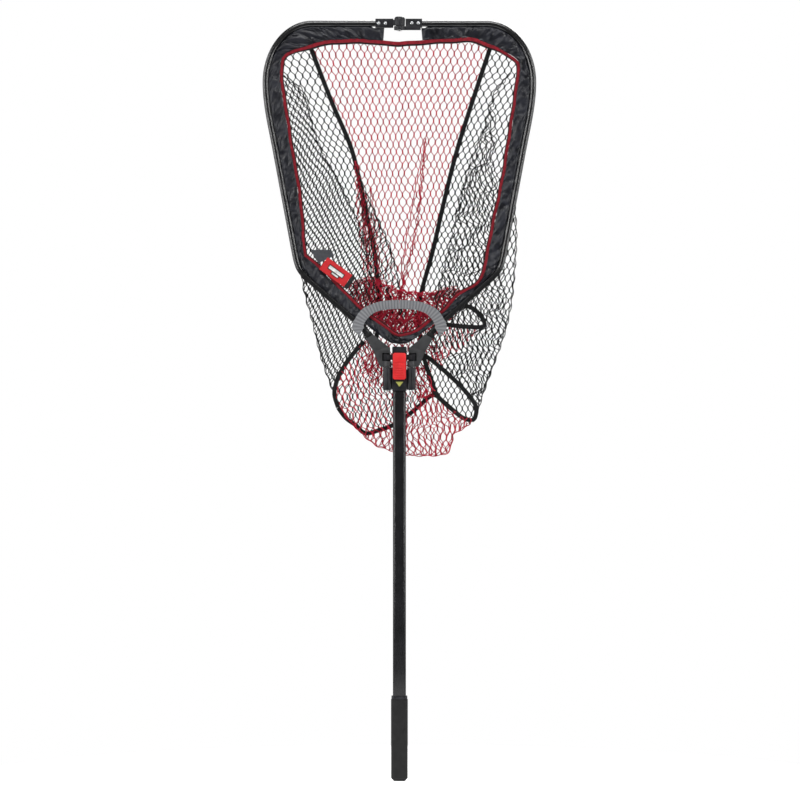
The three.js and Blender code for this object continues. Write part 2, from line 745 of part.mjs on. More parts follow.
function leftSleeve(topStart) {
  const path = railEdge(-topStart);
  path.lineTo(-118, 1024);
  const near = ([x, z]) => (z > 1650 && x > -60 ? RAIL_WIDTH + 2.6 : RAIL_WIDTH + GAP);
  const start = pointsOf(path);
  start.splice(1, 0, [-59.9, RAIL_TOP], [-60.1, RAIL_TOP]);
  const outer = offset(start, near);
  const outline = [
    ...outer,
    [-85.8, 1020.5],
    [-57, 996],
    [MIDDLE, 961.5],
    ...innerEdge(0, -topStart).reverse(),
  ];
  return plate(outline, -SLEEVE_DEPTH / 2, SLEEVE_DEPTH / 2, 2.5);
}
add('left_sleeve', leftSleeve(32.6), NYLON);
add('right_sleeve', mirrored(leftSleeve(47.9)), NYLON);

const bindingOutline = [
  ...innerEdge(GAP),
  ...innerEdge(BINDING_WIDTH).reverse(),
];
addPair('binding', plate(bindingOutline, BINDING_FRONT, BINDING_BACK), RED_BINDING);

const STRAP = { front: -13.2, back: -9.6 };

// The left half of the strap's middle line, from the rail up to the middle of its arch.
function strapLine() {
  const path = new THREE.Path();
  path.moveTo(-86.5, 989);
  path.bezierCurveTo(-97, 1003, -97, 1016, -84, 1029);
  path.bezierCurveTo(-66, 1046, -34, 1050.5, MIDDLE, 1050.5);
  return pointsOf(path);
}
const strapHalfWidth = ([x]) => 9.6 + 2.6 * smooth((-45 - x) / 40);
addPair(
  'strap',
  plate(
    band(strapLine(), strapHalfWidth, (point) => -strapHalfWidth(point)).map(([x, z]) => [
      Math.min(x, MIDDLE),
      z,
    ]),
    STRAP.front,
    STRAP.back,
    0.8,
  ),
  GREY_WEBBING,
);

// The strap's end goes round the rail just above the ferrule.
const LOOP_CENTRE = [-91.5, 1010];
const LOOP_ALONG = [0.75, -0.661];
addPair(
  'strap_loop',
  cut(
    roundRail(-10.5, 10.5, 2.4, LOOP_CENTRE, LOOP_ALONG),
    roundRail(-20, 20, 0.6, LOOP_CENTRE, LOOP_ALONG),
  ),
  GREY_WEBBING,
);

const TAG = { length: 64, height: 35, front: -10, back: -8.4, centre: [-141, 1124], turn: 38 };
add(
  'tag',
  box(-TAG.length / 2, TAG.length / 2, TAG.front, TAG.back, -TAG.height / 2, TAG.height / 2)
    .rotateY((TAG.turn * Math.PI) / 180)
    .translate(TAG.centre[0], 0, TAG.centre[1]),
  RED_WOVEN,
);

// ---- Bag ------------------------------------------------------------------------------------------------

// Rows of the bag from its top to its bottom: height, half widths to the left and right, depth of the back.
const BAG_ROWS = [
  [NET_TOP, 205, 210, 20],
  [1608, 226, 230, 24],
  [1580, 248, 252, 30],
  [1541, 264, 266, 38],
  [1391, 246, 252, 62],
  [1300, 233, 252, 74],
  [1200, 222, 258, 88],
  [1094, 213, 252, 104],
  [1016, 193, 240, 118],
  [970, 182, 227, 125],
  [928, 171, 212, 132],
  [851, 144, 184, 138],
  [807, 120, 167, 134],
  [774, 91, 146, 122],
  [741, 54, 114, 98],
  [727, 22, 106, 80],
  [718, 14, 103, 66],
];

// The left half of one row as a loop of [x, y] points, drawn in by inset and cut at x = middle.
function bagLoop(halfWidth, front, back, inset, middle) {
  const wide = halfWidth - inset;
  const depth = back - front - 2 * inset;
  const near = front + inset;
  const loop = [[middle, near], [-wide * 0.55, near], [-wide * 0.93, near + depth * 0.04]];
  const steps = 7;
  for (let i = 0; i <= steps; i += 1) {
    const angle = (Math.PI / 2) * (i / steps);
    const x = -wide * Math.cos(angle) ** 0.7;
    loop.push([i === steps ? middle : x, near + depth * (0.3 + 0.7 * Math.sin(angle) ** 1.2)]);
  }
  return loop;
}

const frontOf = (z) =>
  NET_FRONT + (NET_FRONT_BEHIND_BLOCK - NET_FRONT) * smooth((1010 - z) / 40);

// A closed solid through the rows.
function loft(column, inset, middle) {
  const rows = BAG_ROWS.map(([z, left, right, back], i) => {
    const width = column === 'left' ? left : right;
    const shift = i === 0 ? -inset : i === BAG_ROWS.length - 1 ? inset : 0;
    return bagLoop(width, frontOf(z), back, inset, middle).map(([x, y]) => [x, y, z + shift]);
  });
  const count = rows[0].length;
  const positions = rows.flat(2);
  const index = [];
  for (let row = 0; row + 1 < rows.length; row += 1) {
    for (let i = 0; i < count; i += 1) {
      const a = row * count + i;
      const b = row * count + ((i + 1) % count);
      index.push(a, b, a + count, b, b + count, a + count);
    }
  }
  for (let i = 1; i + 1 < count; i += 1) {
    const last = (rows.length - 1) * count;
    index.push(0, i + 1, i, last, last + i, last + i + 1);
  }
  const geometry = new THREE.BufferGeometry();
  geometry.setAttribute('position', new THREE.BufferAttribute(new Float32Array(positions), 3));
  geometry.setIndex(index);
  return geometry;
}

// The opening inside the binding, as a cutter through the bag's front wall.
const mouth = plate(
  innerEdge(BINDING_WIDTH).map(([x, z]) => [x > -1 ? 3 : x, z]),
  -5,
  NET_FRONT + 5,
);

function bagHalf(column) {
  return cut(loft(column, 0, MIDDLE), loft(column, NET_THICKNESS, 5), mouth);
}

// Everything on the outer side of a seam, which runs from the top of the bag to its outer edge.
function outside(seam, shift) {
  const moved = offset(seam, () => shift);
  return plate([[moved[0][0], 1700], ...moved, [moved[moved.length - 1][0], 1700]], -50, 300);
}

const LEFT_SEAM = [
  [-197, 1640], [-197, 1618], [-104.6, 1391], [-56, 1170], [-47, 1087], [-55, 1020], [-80, 968],
  [-118, 917], [-140, 880], [-160, 860], [-400, 850],
];
const RIGHT_SEAM = [
  [-202, 1640], [-202, 1616], [-127, 1391], [-74, 1171], [-45, 1065], [-50, 990], [-63, 930],
  [-118, 888], [-156, 846], [-176, 825], [-400, 815],
];

[['left', LEFT_SEAM], ['right', RIGHT_SEAM]].forEach(([side, seam]) => {
  const half = bagHalf(side);
  const place = side === 'left' ? (geometry) => geometry : mirrored;
  const edge = TAPE_WIDTH / 2;
  const panel = common(half, outside(seam, -edge - GAP));
  const strip = cut(half, outside(seam, edge + GAP));
  const tape = common(cut(half, outside(seam, -edge)), outside(seam, edge));
  add(`${side}_net_panel`, place(panel), BLACK_MESH);
  add(`${side}_net_strip`, place(strip), RED_MESH);
  add(`${side}_seam_tape`, place(tape), BLACK_MESH);
});

export default net;
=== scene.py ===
import json
import math

import bmesh
import bpy
import numpy as np
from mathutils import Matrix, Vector, noise

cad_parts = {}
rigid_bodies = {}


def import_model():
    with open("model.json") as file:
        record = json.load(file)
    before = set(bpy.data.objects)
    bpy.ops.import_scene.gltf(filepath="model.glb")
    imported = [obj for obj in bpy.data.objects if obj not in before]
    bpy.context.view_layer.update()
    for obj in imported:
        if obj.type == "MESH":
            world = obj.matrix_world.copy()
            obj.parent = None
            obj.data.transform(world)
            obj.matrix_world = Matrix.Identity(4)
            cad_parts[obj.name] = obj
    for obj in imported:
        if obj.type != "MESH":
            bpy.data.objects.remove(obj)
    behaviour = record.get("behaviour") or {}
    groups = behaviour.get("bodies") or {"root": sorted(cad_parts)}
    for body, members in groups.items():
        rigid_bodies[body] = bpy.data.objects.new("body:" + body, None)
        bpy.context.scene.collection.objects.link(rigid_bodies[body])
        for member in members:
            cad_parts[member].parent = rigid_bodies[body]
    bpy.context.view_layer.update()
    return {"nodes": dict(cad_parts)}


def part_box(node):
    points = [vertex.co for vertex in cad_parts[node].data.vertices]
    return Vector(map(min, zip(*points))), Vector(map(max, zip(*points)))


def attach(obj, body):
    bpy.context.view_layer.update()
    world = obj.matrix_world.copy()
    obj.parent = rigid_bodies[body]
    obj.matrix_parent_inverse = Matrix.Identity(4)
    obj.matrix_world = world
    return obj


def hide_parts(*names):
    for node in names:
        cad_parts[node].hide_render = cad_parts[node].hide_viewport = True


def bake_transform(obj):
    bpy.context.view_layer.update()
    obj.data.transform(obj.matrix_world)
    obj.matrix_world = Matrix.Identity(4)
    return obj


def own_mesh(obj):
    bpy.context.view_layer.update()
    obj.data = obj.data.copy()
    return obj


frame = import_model()
nodes = frame["nodes"]

# ---- Studio -----------------------------------------------------------------------------------
# The net stands upright in front of a white sweep. A long lens a good way off keeps the frame,
# which is flat, free of perspective. Tall soft boxes at both sides draw thin lines on the tubes.

LENS = 200
VIEW_HEIGHT = 1.765
VIEW_MIDDLE = (0.0013, 0.8398)
LAMP_AIM = Vector((0, 0, 0.95))
lens = bpy.data.cameras.new("studio_camera")
lens.lens = LENS
lens.clip_end = 100
camera = bpy.data.objects.new("studio_camera", lens)
bpy.context.collection.objects.link(camera)
camera.location = (VIEW_MIDDLE[0], -VIEW_HEIGHT * LENS / lens.sensor_width, VIEW_MIDDLE[1])
camera.rotation_euler = (math.radians(90), 0, 0)
bpy.context.scene.camera = camera
bpy.context.scene.view_settings.view_transform = "Standard"

world = bpy.data.worlds.new("studio")
bpy.context.scene.world = world
world.use_nodes = True
air = world.node_tree
seen = air.nodes.new("ShaderNodeLightPath")
room = air.nodes["Background"]
room.inputs["Strength"].default_value = 0.13
backdrop = air.nodes.new("ShaderNodeBackground")
backdrop.inputs["Color"].default_value = (1, 1, 1, 1)
either = air.nodes.new("ShaderNodeMixShader")
room.inputs["Color"].default_value = (1, 1, 1, 1)
air.links.new(seen.outputs["Is Camera Ray"], either.inputs[0])
air.links.new(room.outputs[0], either.inputs[1])
air.links.new(backdrop.outputs[0], either.inputs[2])
air.links.new(either.outputs[0], air.nodes["World Output"].inputs["Surface"])

for name, place, size, power in (
    ("key", (-3.0, -0.45, 1.5), (0.9, 3.0), 60),
    ("fill", (3.0, -0.4, 1.5), (0.9, 3.0), 55),
    ("left_front", (-2.4, -3.2, 1.5), (0.3, 2.4), 62),
    ("right_front", (2.4, -3.2, 1.5), (0.3, 2.4), 54),
    ("top", (0.0, -0.3, 4.6), (2.6, 0.8), 50),
    ("top_front", (0.0, -2.6, 3.7), (2.4, 0.5), 75),
    ("back", (0.6, 3.2, 3.2), (1.6, 1.6), 70),
):
    glow = bpy.data.lights.new(name, "AREA")
    glow.shape = "RECTANGLE"
    glow.size, glow.size_y = size
    glow.energy = power
    lamp = bpy.data.objects.new(name, glow)
    bpy.context.collection.objects.link(lamp)
    lamp.location = place
    lamp.rotation_euler = (LAMP_AIM - Vector(place)).to_track_quat("-Z", "Y").to_euler()


def finish(name, colour, roughness, **sockets):
    """A new material, its node tree and its shader, with the constant numbers set on the shader."""
    material = bpy.data.materials.new(name)
    material.use_nodes = True
    shader = material.node_tree.nodes["Principled BSDF"]
    shader.inputs["Base Color"].default_value = (*colour, 1)
    shader.inputs["Roughness"].default_value = roughness
    for socket, value in sockets.items():
        shader.inputs[socket.replace("_", " ")].default_value = value
    return material, material.node_tree, shader


def texture(tree, kind, scale, source="Object", stretch=(1, 1, 1), turn=(0, 0, 0), **sockets):
    """A texture node on the piece's own coordinates, scaled, turned and stretched."""
    where = tree.nodes.new("ShaderNodeTexCoord")
    mapping = tree.nodes.new("ShaderNodeMapping")
    mapping.inputs["Scale"].default_value = stretch
    mapping.inputs["Rotation"].default_value = turn
    pattern = tree.nodes.new(f"ShaderNodeTex{kind}")
    pattern.inputs["Scale"].default_value = scale
    for socket, value in sockets.items():
        pattern.inputs[socket.replace("_", " ")].default_value = value
    tree.links.new(where.outputs[source], mapping.inputs["Vector"])
    tree.links.new(mapping.outputs[0], pattern.inputs["Vector"])
    return pattern


def ramp(tree, value, stops, target):
    """Two colours blended by a value, sent to a shader socket."""
    colours = tree.nodes.new("ShaderNodeValToRGB")
    for point, (at, colour) in zip(colours.color_ramp.elements, stops):
        point.position = at
        point.color = (*colour, 1)
    tree.links.new(value, colours.inputs[0])
    tree.links.new(colours.outputs[0], target)


def mottled(tree, shader, value, colour, low, high):
    """The colour of a surface, made darker and lighter by a value."""
    stops = [(0.3, [c * low for c in colour]), (0.7, [min(c * high, 1) for c in colour])]
    ramp(tree, value, stops, shader.inputs["Base Color"])


def roughened(tree, shader, value, low, high, top=0.75):
    """The roughness of a surface, going from low to high with a value."""
    ramp(tree, value, [(0.3, (low,) * 3), (top, (high,) * 3)], shader.inputs["Roughness"])


def relief(tree, shader, heights, distance, strength=1.0):
    """Bump from one or more textures, one on top of the other."""
    below = None
    for height in heights:
        bump = tree.nodes.new("ShaderNodeBump")
        bump.inputs["Distance"].default_value = distance
        bump.inputs["Strength"].default_value = strength
        tree.links.new(height, bump.inputs["Height"])
        if below:
            tree.links.new(below, bump.inputs["Normal"])
        below = bump.outputs[0]
    tree.links.new(below, shader.inputs["Normal"])


pale, tree, shader = finish("pale_floor", (0.93, 0.93, 0.93), 0.9)
mottled(tree, shader, texture(tree, "Noise", 3).outputs[0], (0.95, 0.95, 0.95), 0.99, 1.01)
shader.inputs["Emission Color"].default_value = (1, 1, 1, 1)
shader.inputs["Emission Strength"].default_value = 0.6
disc = bmesh.new()
bmesh.ops.create_circle(disc, cap_ends=True, segments=96, radius=1.0)
bmesh.ops.translate(disc, verts=disc.verts, vec=(0, 0, -0.0006))
floor_mesh = bpy.data.meshes.new("floor")
disc.to_mesh(floor_mesh)
floor_mesh.materials.append(pale)
floor = bpy.data.objects.new("floor", floor_mesh)
bpy.context.collection.objects.link(floor)

# ---- Grip, tube and their plugs -----------------------------------------------------------------
# A square aluminium tube, black anodised and polished, goes into a moulded rubber grip. The grip's
# edges are rounded, and the end of the tube is closed by a plastic plug.


SAME_SPOT, FLAT_BELOW, SMOOTH_BELOW = 2e-6, math.radians(0.8), math.radians(32)


def finely(node, width, material, segments=2):
    """A hard part with its edges eased, in place of its plain solid."""
    source = nodes[node]
    shape = bmesh.new()
    shape.from_mesh(source.data)
    bmesh.ops.remove_doubles(shape, verts=shape.verts, dist=SAME_SPOT)
    bmesh.ops.dissolve_limit(shape, angle_limit=FLAT_BELOW, verts=shape.verts, edges=shape.edges)
    sharp = [
        edge
        for edge in shape.edges
        if len(edge.link_faces) == 2 and edge.calc_face_angle(0) > SMOOTH_BELOW
    ]
    bmesh.ops.bevel(
        shape, geom=sharp, offset=width, segments=segments, profile=0.6, affect="EDGES", clamp_overlap=True
    )
    bmesh.ops.triangulate(shape, faces=[f for f in shape.faces if len(f.verts) > 4])
    mesh = bpy.data.meshes.new(f"{node}_moulded")
    shape.to_mesh(mesh)
    mesh.shade_smooth()
    mesh.set_sharp_from_angle(angle=SMOOTH_BELOW)
    mesh.materials.append(material)
    piece = bpy.data.objects.new(f"{node}_moulded", mesh)
    bpy.context.collection.objects.link(piece)
    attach(piece, source.parent.name.replace("body:", ""))
    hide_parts(node)
    return piece


coat = {"Specular_IOR_Level": 0.35, "Coat_Weight": 0.1, "Coat_Roughness": 0.12}
anodised, tree, shader = finish("black_anodised_tube", (0.0035, 0.0035, 0.004), 0.2, **coat)
drawn = texture(tree, "Noise", 900, stretch=(1, 1, 0.02), Detail=3.0)
clouds = texture(tree, "Noise", 40, Detail=5.0)
roughened(tree, shader, drawn.outputs[0], 0.16, 0.3)
mottled(tree, shader, clouds.outputs[0], (0.007, 0.007, 0.008), 0.7, 1.5)
relief(tree, shader, [drawn.outputs[0]], 0.00001, 0.5)

rubber, tree, shader = finish("grip_rubber", (0.0085, 0.0085, 0.0085), 0.6, Specular_IOR_Level=0.16)
grain = texture(tree, "Voronoi", 900)
clouds = texture(tree, "Noise", 55, Detail=6.0)
mottled(tree, shader, clouds.outputs[0], (0.0085, 0.0085, 0.0085), 0.75, 1.5)
roughened(tree, shader, clouds.outputs[0], 0.52, 0.7, 0.7)
relief(tree, shader, [grain.outputs["Distance"], clouds.outputs[0]], 0.0001, 0.7)

moulded, tree, shader = finish("black_moulding", (0.008, 0.008, 0.0095), 0.48, Specular_IOR_Level=0.2)
grain = texture(tree, "Noise", 2600, Detail=2.0)
clouds = texture(tree, "Noise", 70, Detail=4.0)
mottled(tree, shader, clouds.outputs[0], (0.012, 0.012, 0.014), 0.75, 1.6)
roughened(tree, shader, clouds.outputs[0], 0.3, 0.46)
relief(tree, shader, [grain.outputs[0]], 0.00003)

for node, width, stuff, slot in (
    ("handle_tube", 0.0004, anodised, "black_aluminium"),
    ("grip_sleeve", 0.0012, rubber, "grip_rubber"),
    ("grip_collar", 0.0008, moulded, "black_plastic"),
    ("butt_plug", 0.0004, moulded, "black_plastic"),
    ("tube_plug", 0.0004, moulded, "black_plastic"),
):
    finely(node, width, stuff)

# ---- Head block, cover, release button and lock ---------------------------------------------------
# The block that joins the two halves of the frame to the tube is moulded in glass-filled nylon.
# The red button slides down in its cover against a spring, and draws a bolt out of each arm.

for node in ("head_block", "head_cover", "head_cap", "slide_carriage", "left_lock_bolt", "right_lock_bolt"):
    finely(node, 0.0005, moulded)

coat = {"Specular_IOR_Level": 0.5, "Coat_Weight": 0.15}
red, tree, shader = finish("red_button", (0.58, 0.014, 0.016), 0.36, **coat)
grain = texture(tree, "Noise", 1500, Detail=3.0)
mottled(tree, shader, texture(tree, "Noise", 60).outputs[0], (0.58, 0.014, 0.016), 0.9, 1.12)
roughened(tree, shader, grain.outputs[0], 0.3, 0.44, 0.7)
relief(tree, shader, [grain.outputs[0]], 0.00003)
finely("release_button", 0.0006, red)

lime, tree, shader = finish("lime_print", (0.33, 0.34, 0.07), 0.5)
mottled(tree, shader, texture(tree, "Noise", 700).outputs[0], (0.33, 0.34, 0.07), 0.8, 1.25)
relief(tree, shader, [texture(tree, "Noise", 1500).outputs[0]], 0.00003)
finely("arrow_inlay", 0.00012, lime, 1)

steel, tree, shader = finish("bright_steel", (0.5, 0.51, 0.52), 0.28, Metallic=1.0)
turned = texture(tree, "Noise", 1800, stretch=(1, 0.1, 1), Detail=4.0)
roughened(tree, shader, turned.outputs[0], 0.2, 0.4, 0.7)
mottled(tree, shader, turned.outputs[0], (0.5, 0.51, 0.52), 0.8, 1.15)
relief(tree, shader, [turned.outputs[0]], 0.00003)
blacked, tree, shader = finish("blacked_steel", (0.02, 0.02, 0.021), 0.42, Metallic=0.6)
mottled(tree, shader, texture(tree, "Noise", 400).outputs[0], (0.02, 0.02, 0.021), 0.7, 1.6)
relief(tree, shader, [texture(tree, "Noise", 1500).outputs[0]], 0.00003)
for node in [n for n in nodes if nodes[n].material_slots[0].material.name.startswith("steel")]:
    if node != "release_spring":
        finely(node, 0.00025, blacked if node.endswith("hinge_washer") else steel, 1)

# The spring sits between the floor of the block and the carriage, and in the real lock it is squeezed as
# the button goes down. Here it is copied in bright steel, with a mesh of its own, and rides with the
# handle.
coil = nodes["release_spring"].copy()
coil.data = nodes["release_spring"].data.copy()
coil.name = coil.data.name = "release_spring_wire"
coil.parent = None
bpy.context.collection.objects.link(coil)
coil.data.materials.clear()
coil.data.materials.append(steel)
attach(coil, "handle")
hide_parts("release_spring")
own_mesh(coil)

# ---- Frame: arms, rails and tip hinge -------------------------------------------------------------
# Each arm is a grained casting that turns on a pin in the block. The rails are bent from round
# anodised tube, and a two-leaf hinge riveted to them holds the tip.

cast, tree, shader = finish("grey_casting", (0.018, 0.0185, 0.02), 0.5, Specular_IOR_Level=0.4)
grain = texture(tree, "Voronoi", 1400)
clouds = texture(tree, "Noise", 90, Detail=5.0)
mottled(tree, shader, clouds.outputs[0], (0.018, 0.0185, 0.02), 0.8, 1.35)
roughened(tree, shader, clouds.outputs[0], 0.45, 0.62)
relief(tree, shader, [grain.outputs["Distance"]], 0.00006)

coat = {"Specular_IOR_Level": 0.6, "Coat_Weight": 0.3, "Coat_Roughness": 0.15}
bent, tree, shader = finish("black_anodised_rail", (0.004, 0.004, 0.0045), 0.22, **coat)
clouds = texture(tree, "Noise", 120, Detail=5.0)
roughened(tree, shader, clouds.outputs[0], 0.2, 0.27)
mottled(tree, shader, clouds.outputs[0], (0.004, 0.004, 0.0045), 0.8, 1.3)
relief(tree, shader, [texture(tree, "Noise", 300, Detail=2.0).outputs[0]], 0.00001, 0.4)

for side in ("left", "right"):
    finely(f"{side}_arm", 0.0006, cast)
    finely(f"{side}_rail_collar", 0.0008, rubber)
    finely(f"{side}_tip_bracket", 0.0006, moulded)

# ---- Sleeves --------------------------------------------------------------------------------------
# A pocket of shiny nylon is sewn round each half inside the rail, and the two meet in the V above
# the block. The cloth is longer than the seams, so it puckers all along and creases at the bends.


def smooth(t):
    """Eases from 0 to 1 as t does."""
    t = np.clip(t, 0, 1)
    return t * t * (3 - 2 * t)


def curve(a, b, c, d, count=16):
    """Points of a cubic curve, without the first."""
    t = np.linspace(0, 1, count + 1)[1:, None]
    a, b, c, d = (np.array(p, float) for p in (a, b, c, d))
    return list((1 - t) ** 3 * a + 3 * t * (1 - t) ** 2 * b + 3 * t * t * (1 - t) * c + t**3 * d)


def even(points, step=None, count=None):
    """The same line with its points evenly spaced."""
    points = np.array(points, float)
    run = np.concatenate([[0], np.cumsum(np.linalg.norm(np.diff(points, axis=0), axis=1))])
    count = count or max(2, int(run[-1] / step) + 1)
    at = np.linspace(0, run[-1], count)
    return np.stack([np.interp(at, run, points[:, i]) for i in range(points.shape[1])], axis=1)


def inset(line, distance):
    """The line moved to its left-hand side as it runs, which on the left half is into the frame."""
    along = np.gradient(line, axis=0)
    along /= np.linalg.norm(along, axis=1)[:, None]
    return line + np.stack([-along[:, 1], along[:, 0]], axis=1) * np.reshape(distance, (-1, 1))


def rail_line(start):
    """Outer edge of the left rail in mm, from the tip round the corner to the elbow."""
    turn = np.linspace(0, math.pi / 2, 24)
    line = [np.array((start, 1676.7))]
    line += [np.array((-193 - 109 * math.sin(a), 1540.7 + 136 * math.cos(a))) for a in turn]
    line += curve((-302, 1540.7), (-302, 1490), (-289.2, 1440), (-280, 1391))
    line += [np.array((-239, 1171))]
    return line + curve((-239, 1171), (-231.7, 1131.7), (-229, 1122), (-203, 1099))


# The middle of the seam round the mouth, from the tip to the point of the V, on the left and the right.
MOUTH = {
    "left": [
        (0, 1625.5), (-24, 1627), (-58, 1630), (-136, 1631), (-168, 1627.5), (-197, 1620),
        (-238, 1605), (-252, 1596), (-257, 1583), (-257.4, 1531), (-244, 1443), (-225, 1330),
        (-211.8, 1219), (-207.5, 1163), (-201, 1155), (-177, 1135), (-110, 1068), (-75.7, 1037),
        (-60, 1022), (-29.5, 1001), (-12, 987), (0, 983),
    ],
    "right": [
        (0, 1625.5), (-24, 1628), (-60, 1631), (-120, 1633), (-161.7, 1633), (-200, 1620.5),
        (-219, 1612), (-255.5, 1590), (-261.6, 1570), (-253.5, 1508), (-241, 1414), (-219, 1292),
        (-202.5, 1210), (-188, 1143), (-181, 1114), (-169, 1096), (-137, 1078), (-117, 1060),
        (-97, 1038), (-60.5, 1012), (-32, 992), (-12, 985), (0, 983),
    ],
}
CORNER, ELBOW = 1610, 1165


def flowing(points, step):
    """A smooth line through points."""
    points = np.array(points, float)
    padded = np.concatenate([2 * points[:1] - points[1:2], points, 2 * points[-1:] - points[-2:-1]])
    line = []
    for a, b, c, d in zip(padded[:-3], padded[1:-2], padded[2:-1], padded[3:]):
        square, cube = 2 * a - 5 * b + 4 * c - d, 3 * b - 3 * c + d - a
        for t in np.linspace(0, 1, 12, endpoint=False):
            line.append(0.5 * (2 * b + (c - a) * t + square * t**2 + cube * t**3))
    return even(line + [points[-1]], step)


def parts_of(line):
    """Cuts a line of the frame at its top corner and its elbow."""
    corner = int(np.argmin(np.abs(line[:, 1] - CORNER) + 1000 * (line[:, 0] > -200)))
    elbow = int(np.argmin(np.abs(line[:, 1] - ELBOW)))
    return [line[: corner + 1], line[corner : elbow + 1], line[elbow:]]


def shell(name, rings, material, closed_ends=True, uv=None):
    """A closed skin through rings of points, all with the same number of points."""
    rings = np.array(rings)
    count, around = rings.shape[:2]
    faces = []
    for low in range(0, (count - 1) * around, around):
        for j, k in zip(range(around), [*range(1, around), 0]):
            faces.append((low + j, low + k, low + around + k, low + around + j))
    if closed_ends:
        faces += [tuple(range(around))[::-1], tuple(range((count - 1) * around, count * around))]
    mesh = bpy.data.meshes.new(name)
    mesh.from_pydata(rings.reshape(-1, 3).tolist(), [], faces)
    if uv is not None:
        layer = mesh.uv_layers.new(name="UVMap").data
        flat = np.array(uv).reshape(-1, 2)
        for loop in mesh.loops:
            layer[loop.index].uv = flat[loop.vertex_index]
    shape = bmesh.new()
    shape.from_mesh(mesh)
    bmesh.ops.recalc_face_normals(shape, faces=shape.faces)
    shape.to_mesh(mesh)
    mesh.shade_smooth()
    mesh.set_sharp_from_angle(angle=math.radians(50))
    mesh.materials.append(material)
    piece = bpy.data.objects.new(name, mesh)
    bpy.context.collection.objects.link(piece)
    return piece


# The rail itself is a tube along that line, nearly round, pushed into the arm at its lower end.
RAIL_SIDES, RAIL_RADIUS, RAIL_SQUARE = 24, 6.5, 2.5
rail_end = curve((-203, 1099), (-163, 1064), (-124, 1029.3), (-84.3, 994.4), 8)
rail_end += [np.array((-76.3, 984.7)), np.array((-61.8, 959.8))]
for side, sign in (("left", 1), ("right", -1)):
    centre = inset(even(rail_line(-17) + rail_end, step=4), 6.6)
    along = np.gradient(centre, axis=0)
    along /= np.linalg.norm(along, axis=1)[:, None]
    hoops = []
    for (x, z), (dx, dz) in zip(centre, along):
        hoop = []
        for k in range(RAIL_SIDES):
            turn = 2 * math.pi * k / RAIL_SIDES
            c, s = math.cos(turn), math.sin(turn)
            out = RAIL_RADIUS * (abs(c) ** RAIL_SQUARE + abs(s) ** RAIL_SQUARE) ** (-1 / RAIL_SQUARE)
            hoop.append(((x - dz * c * out) * sign / 1000, s * out / 1000, (z + dx * c * out) / 1000))
        hoops.append(hoop)
    tube = shell(f"{side}_rail_tube", hoops, bent)
    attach(tube, f"{side}_frame")
    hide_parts(f"{side}_rail")

fuzz = {"Specular_IOR_Level": 0.36, "Sheen_Weight": 0.02, "Sheen_Roughness": 0.4}
nylon, tree, shader = finish("shiny_nylon", (0.0045, 0.005, 0.0085), 0.4, **fuzz)
# A soft noise makes the nylon's colour much darker and lighter: painted shade and sheen of wrinkles. The
# same noise also varies the roughness.
painted_crinkle_shade = texture(tree, "Noise", 34, Detail=3.0, Roughness=0.45, Distortion=1.2)
weave = texture(tree, "Wave", 900, turn=(0, math.radians(45), 0), Distortion=0.5)
mottled(tree, shader, painted_crinkle_shade.outputs[0], (0.0045, 0.005, 0.0085), 0.5, 1.9)
roughened(tree, shader, painted_crinkle_shade.outputs[0], 0.28, 0.5, 0.7)
relief(tree, shader, [weave.outputs[0]], 0.00002, 0.4)

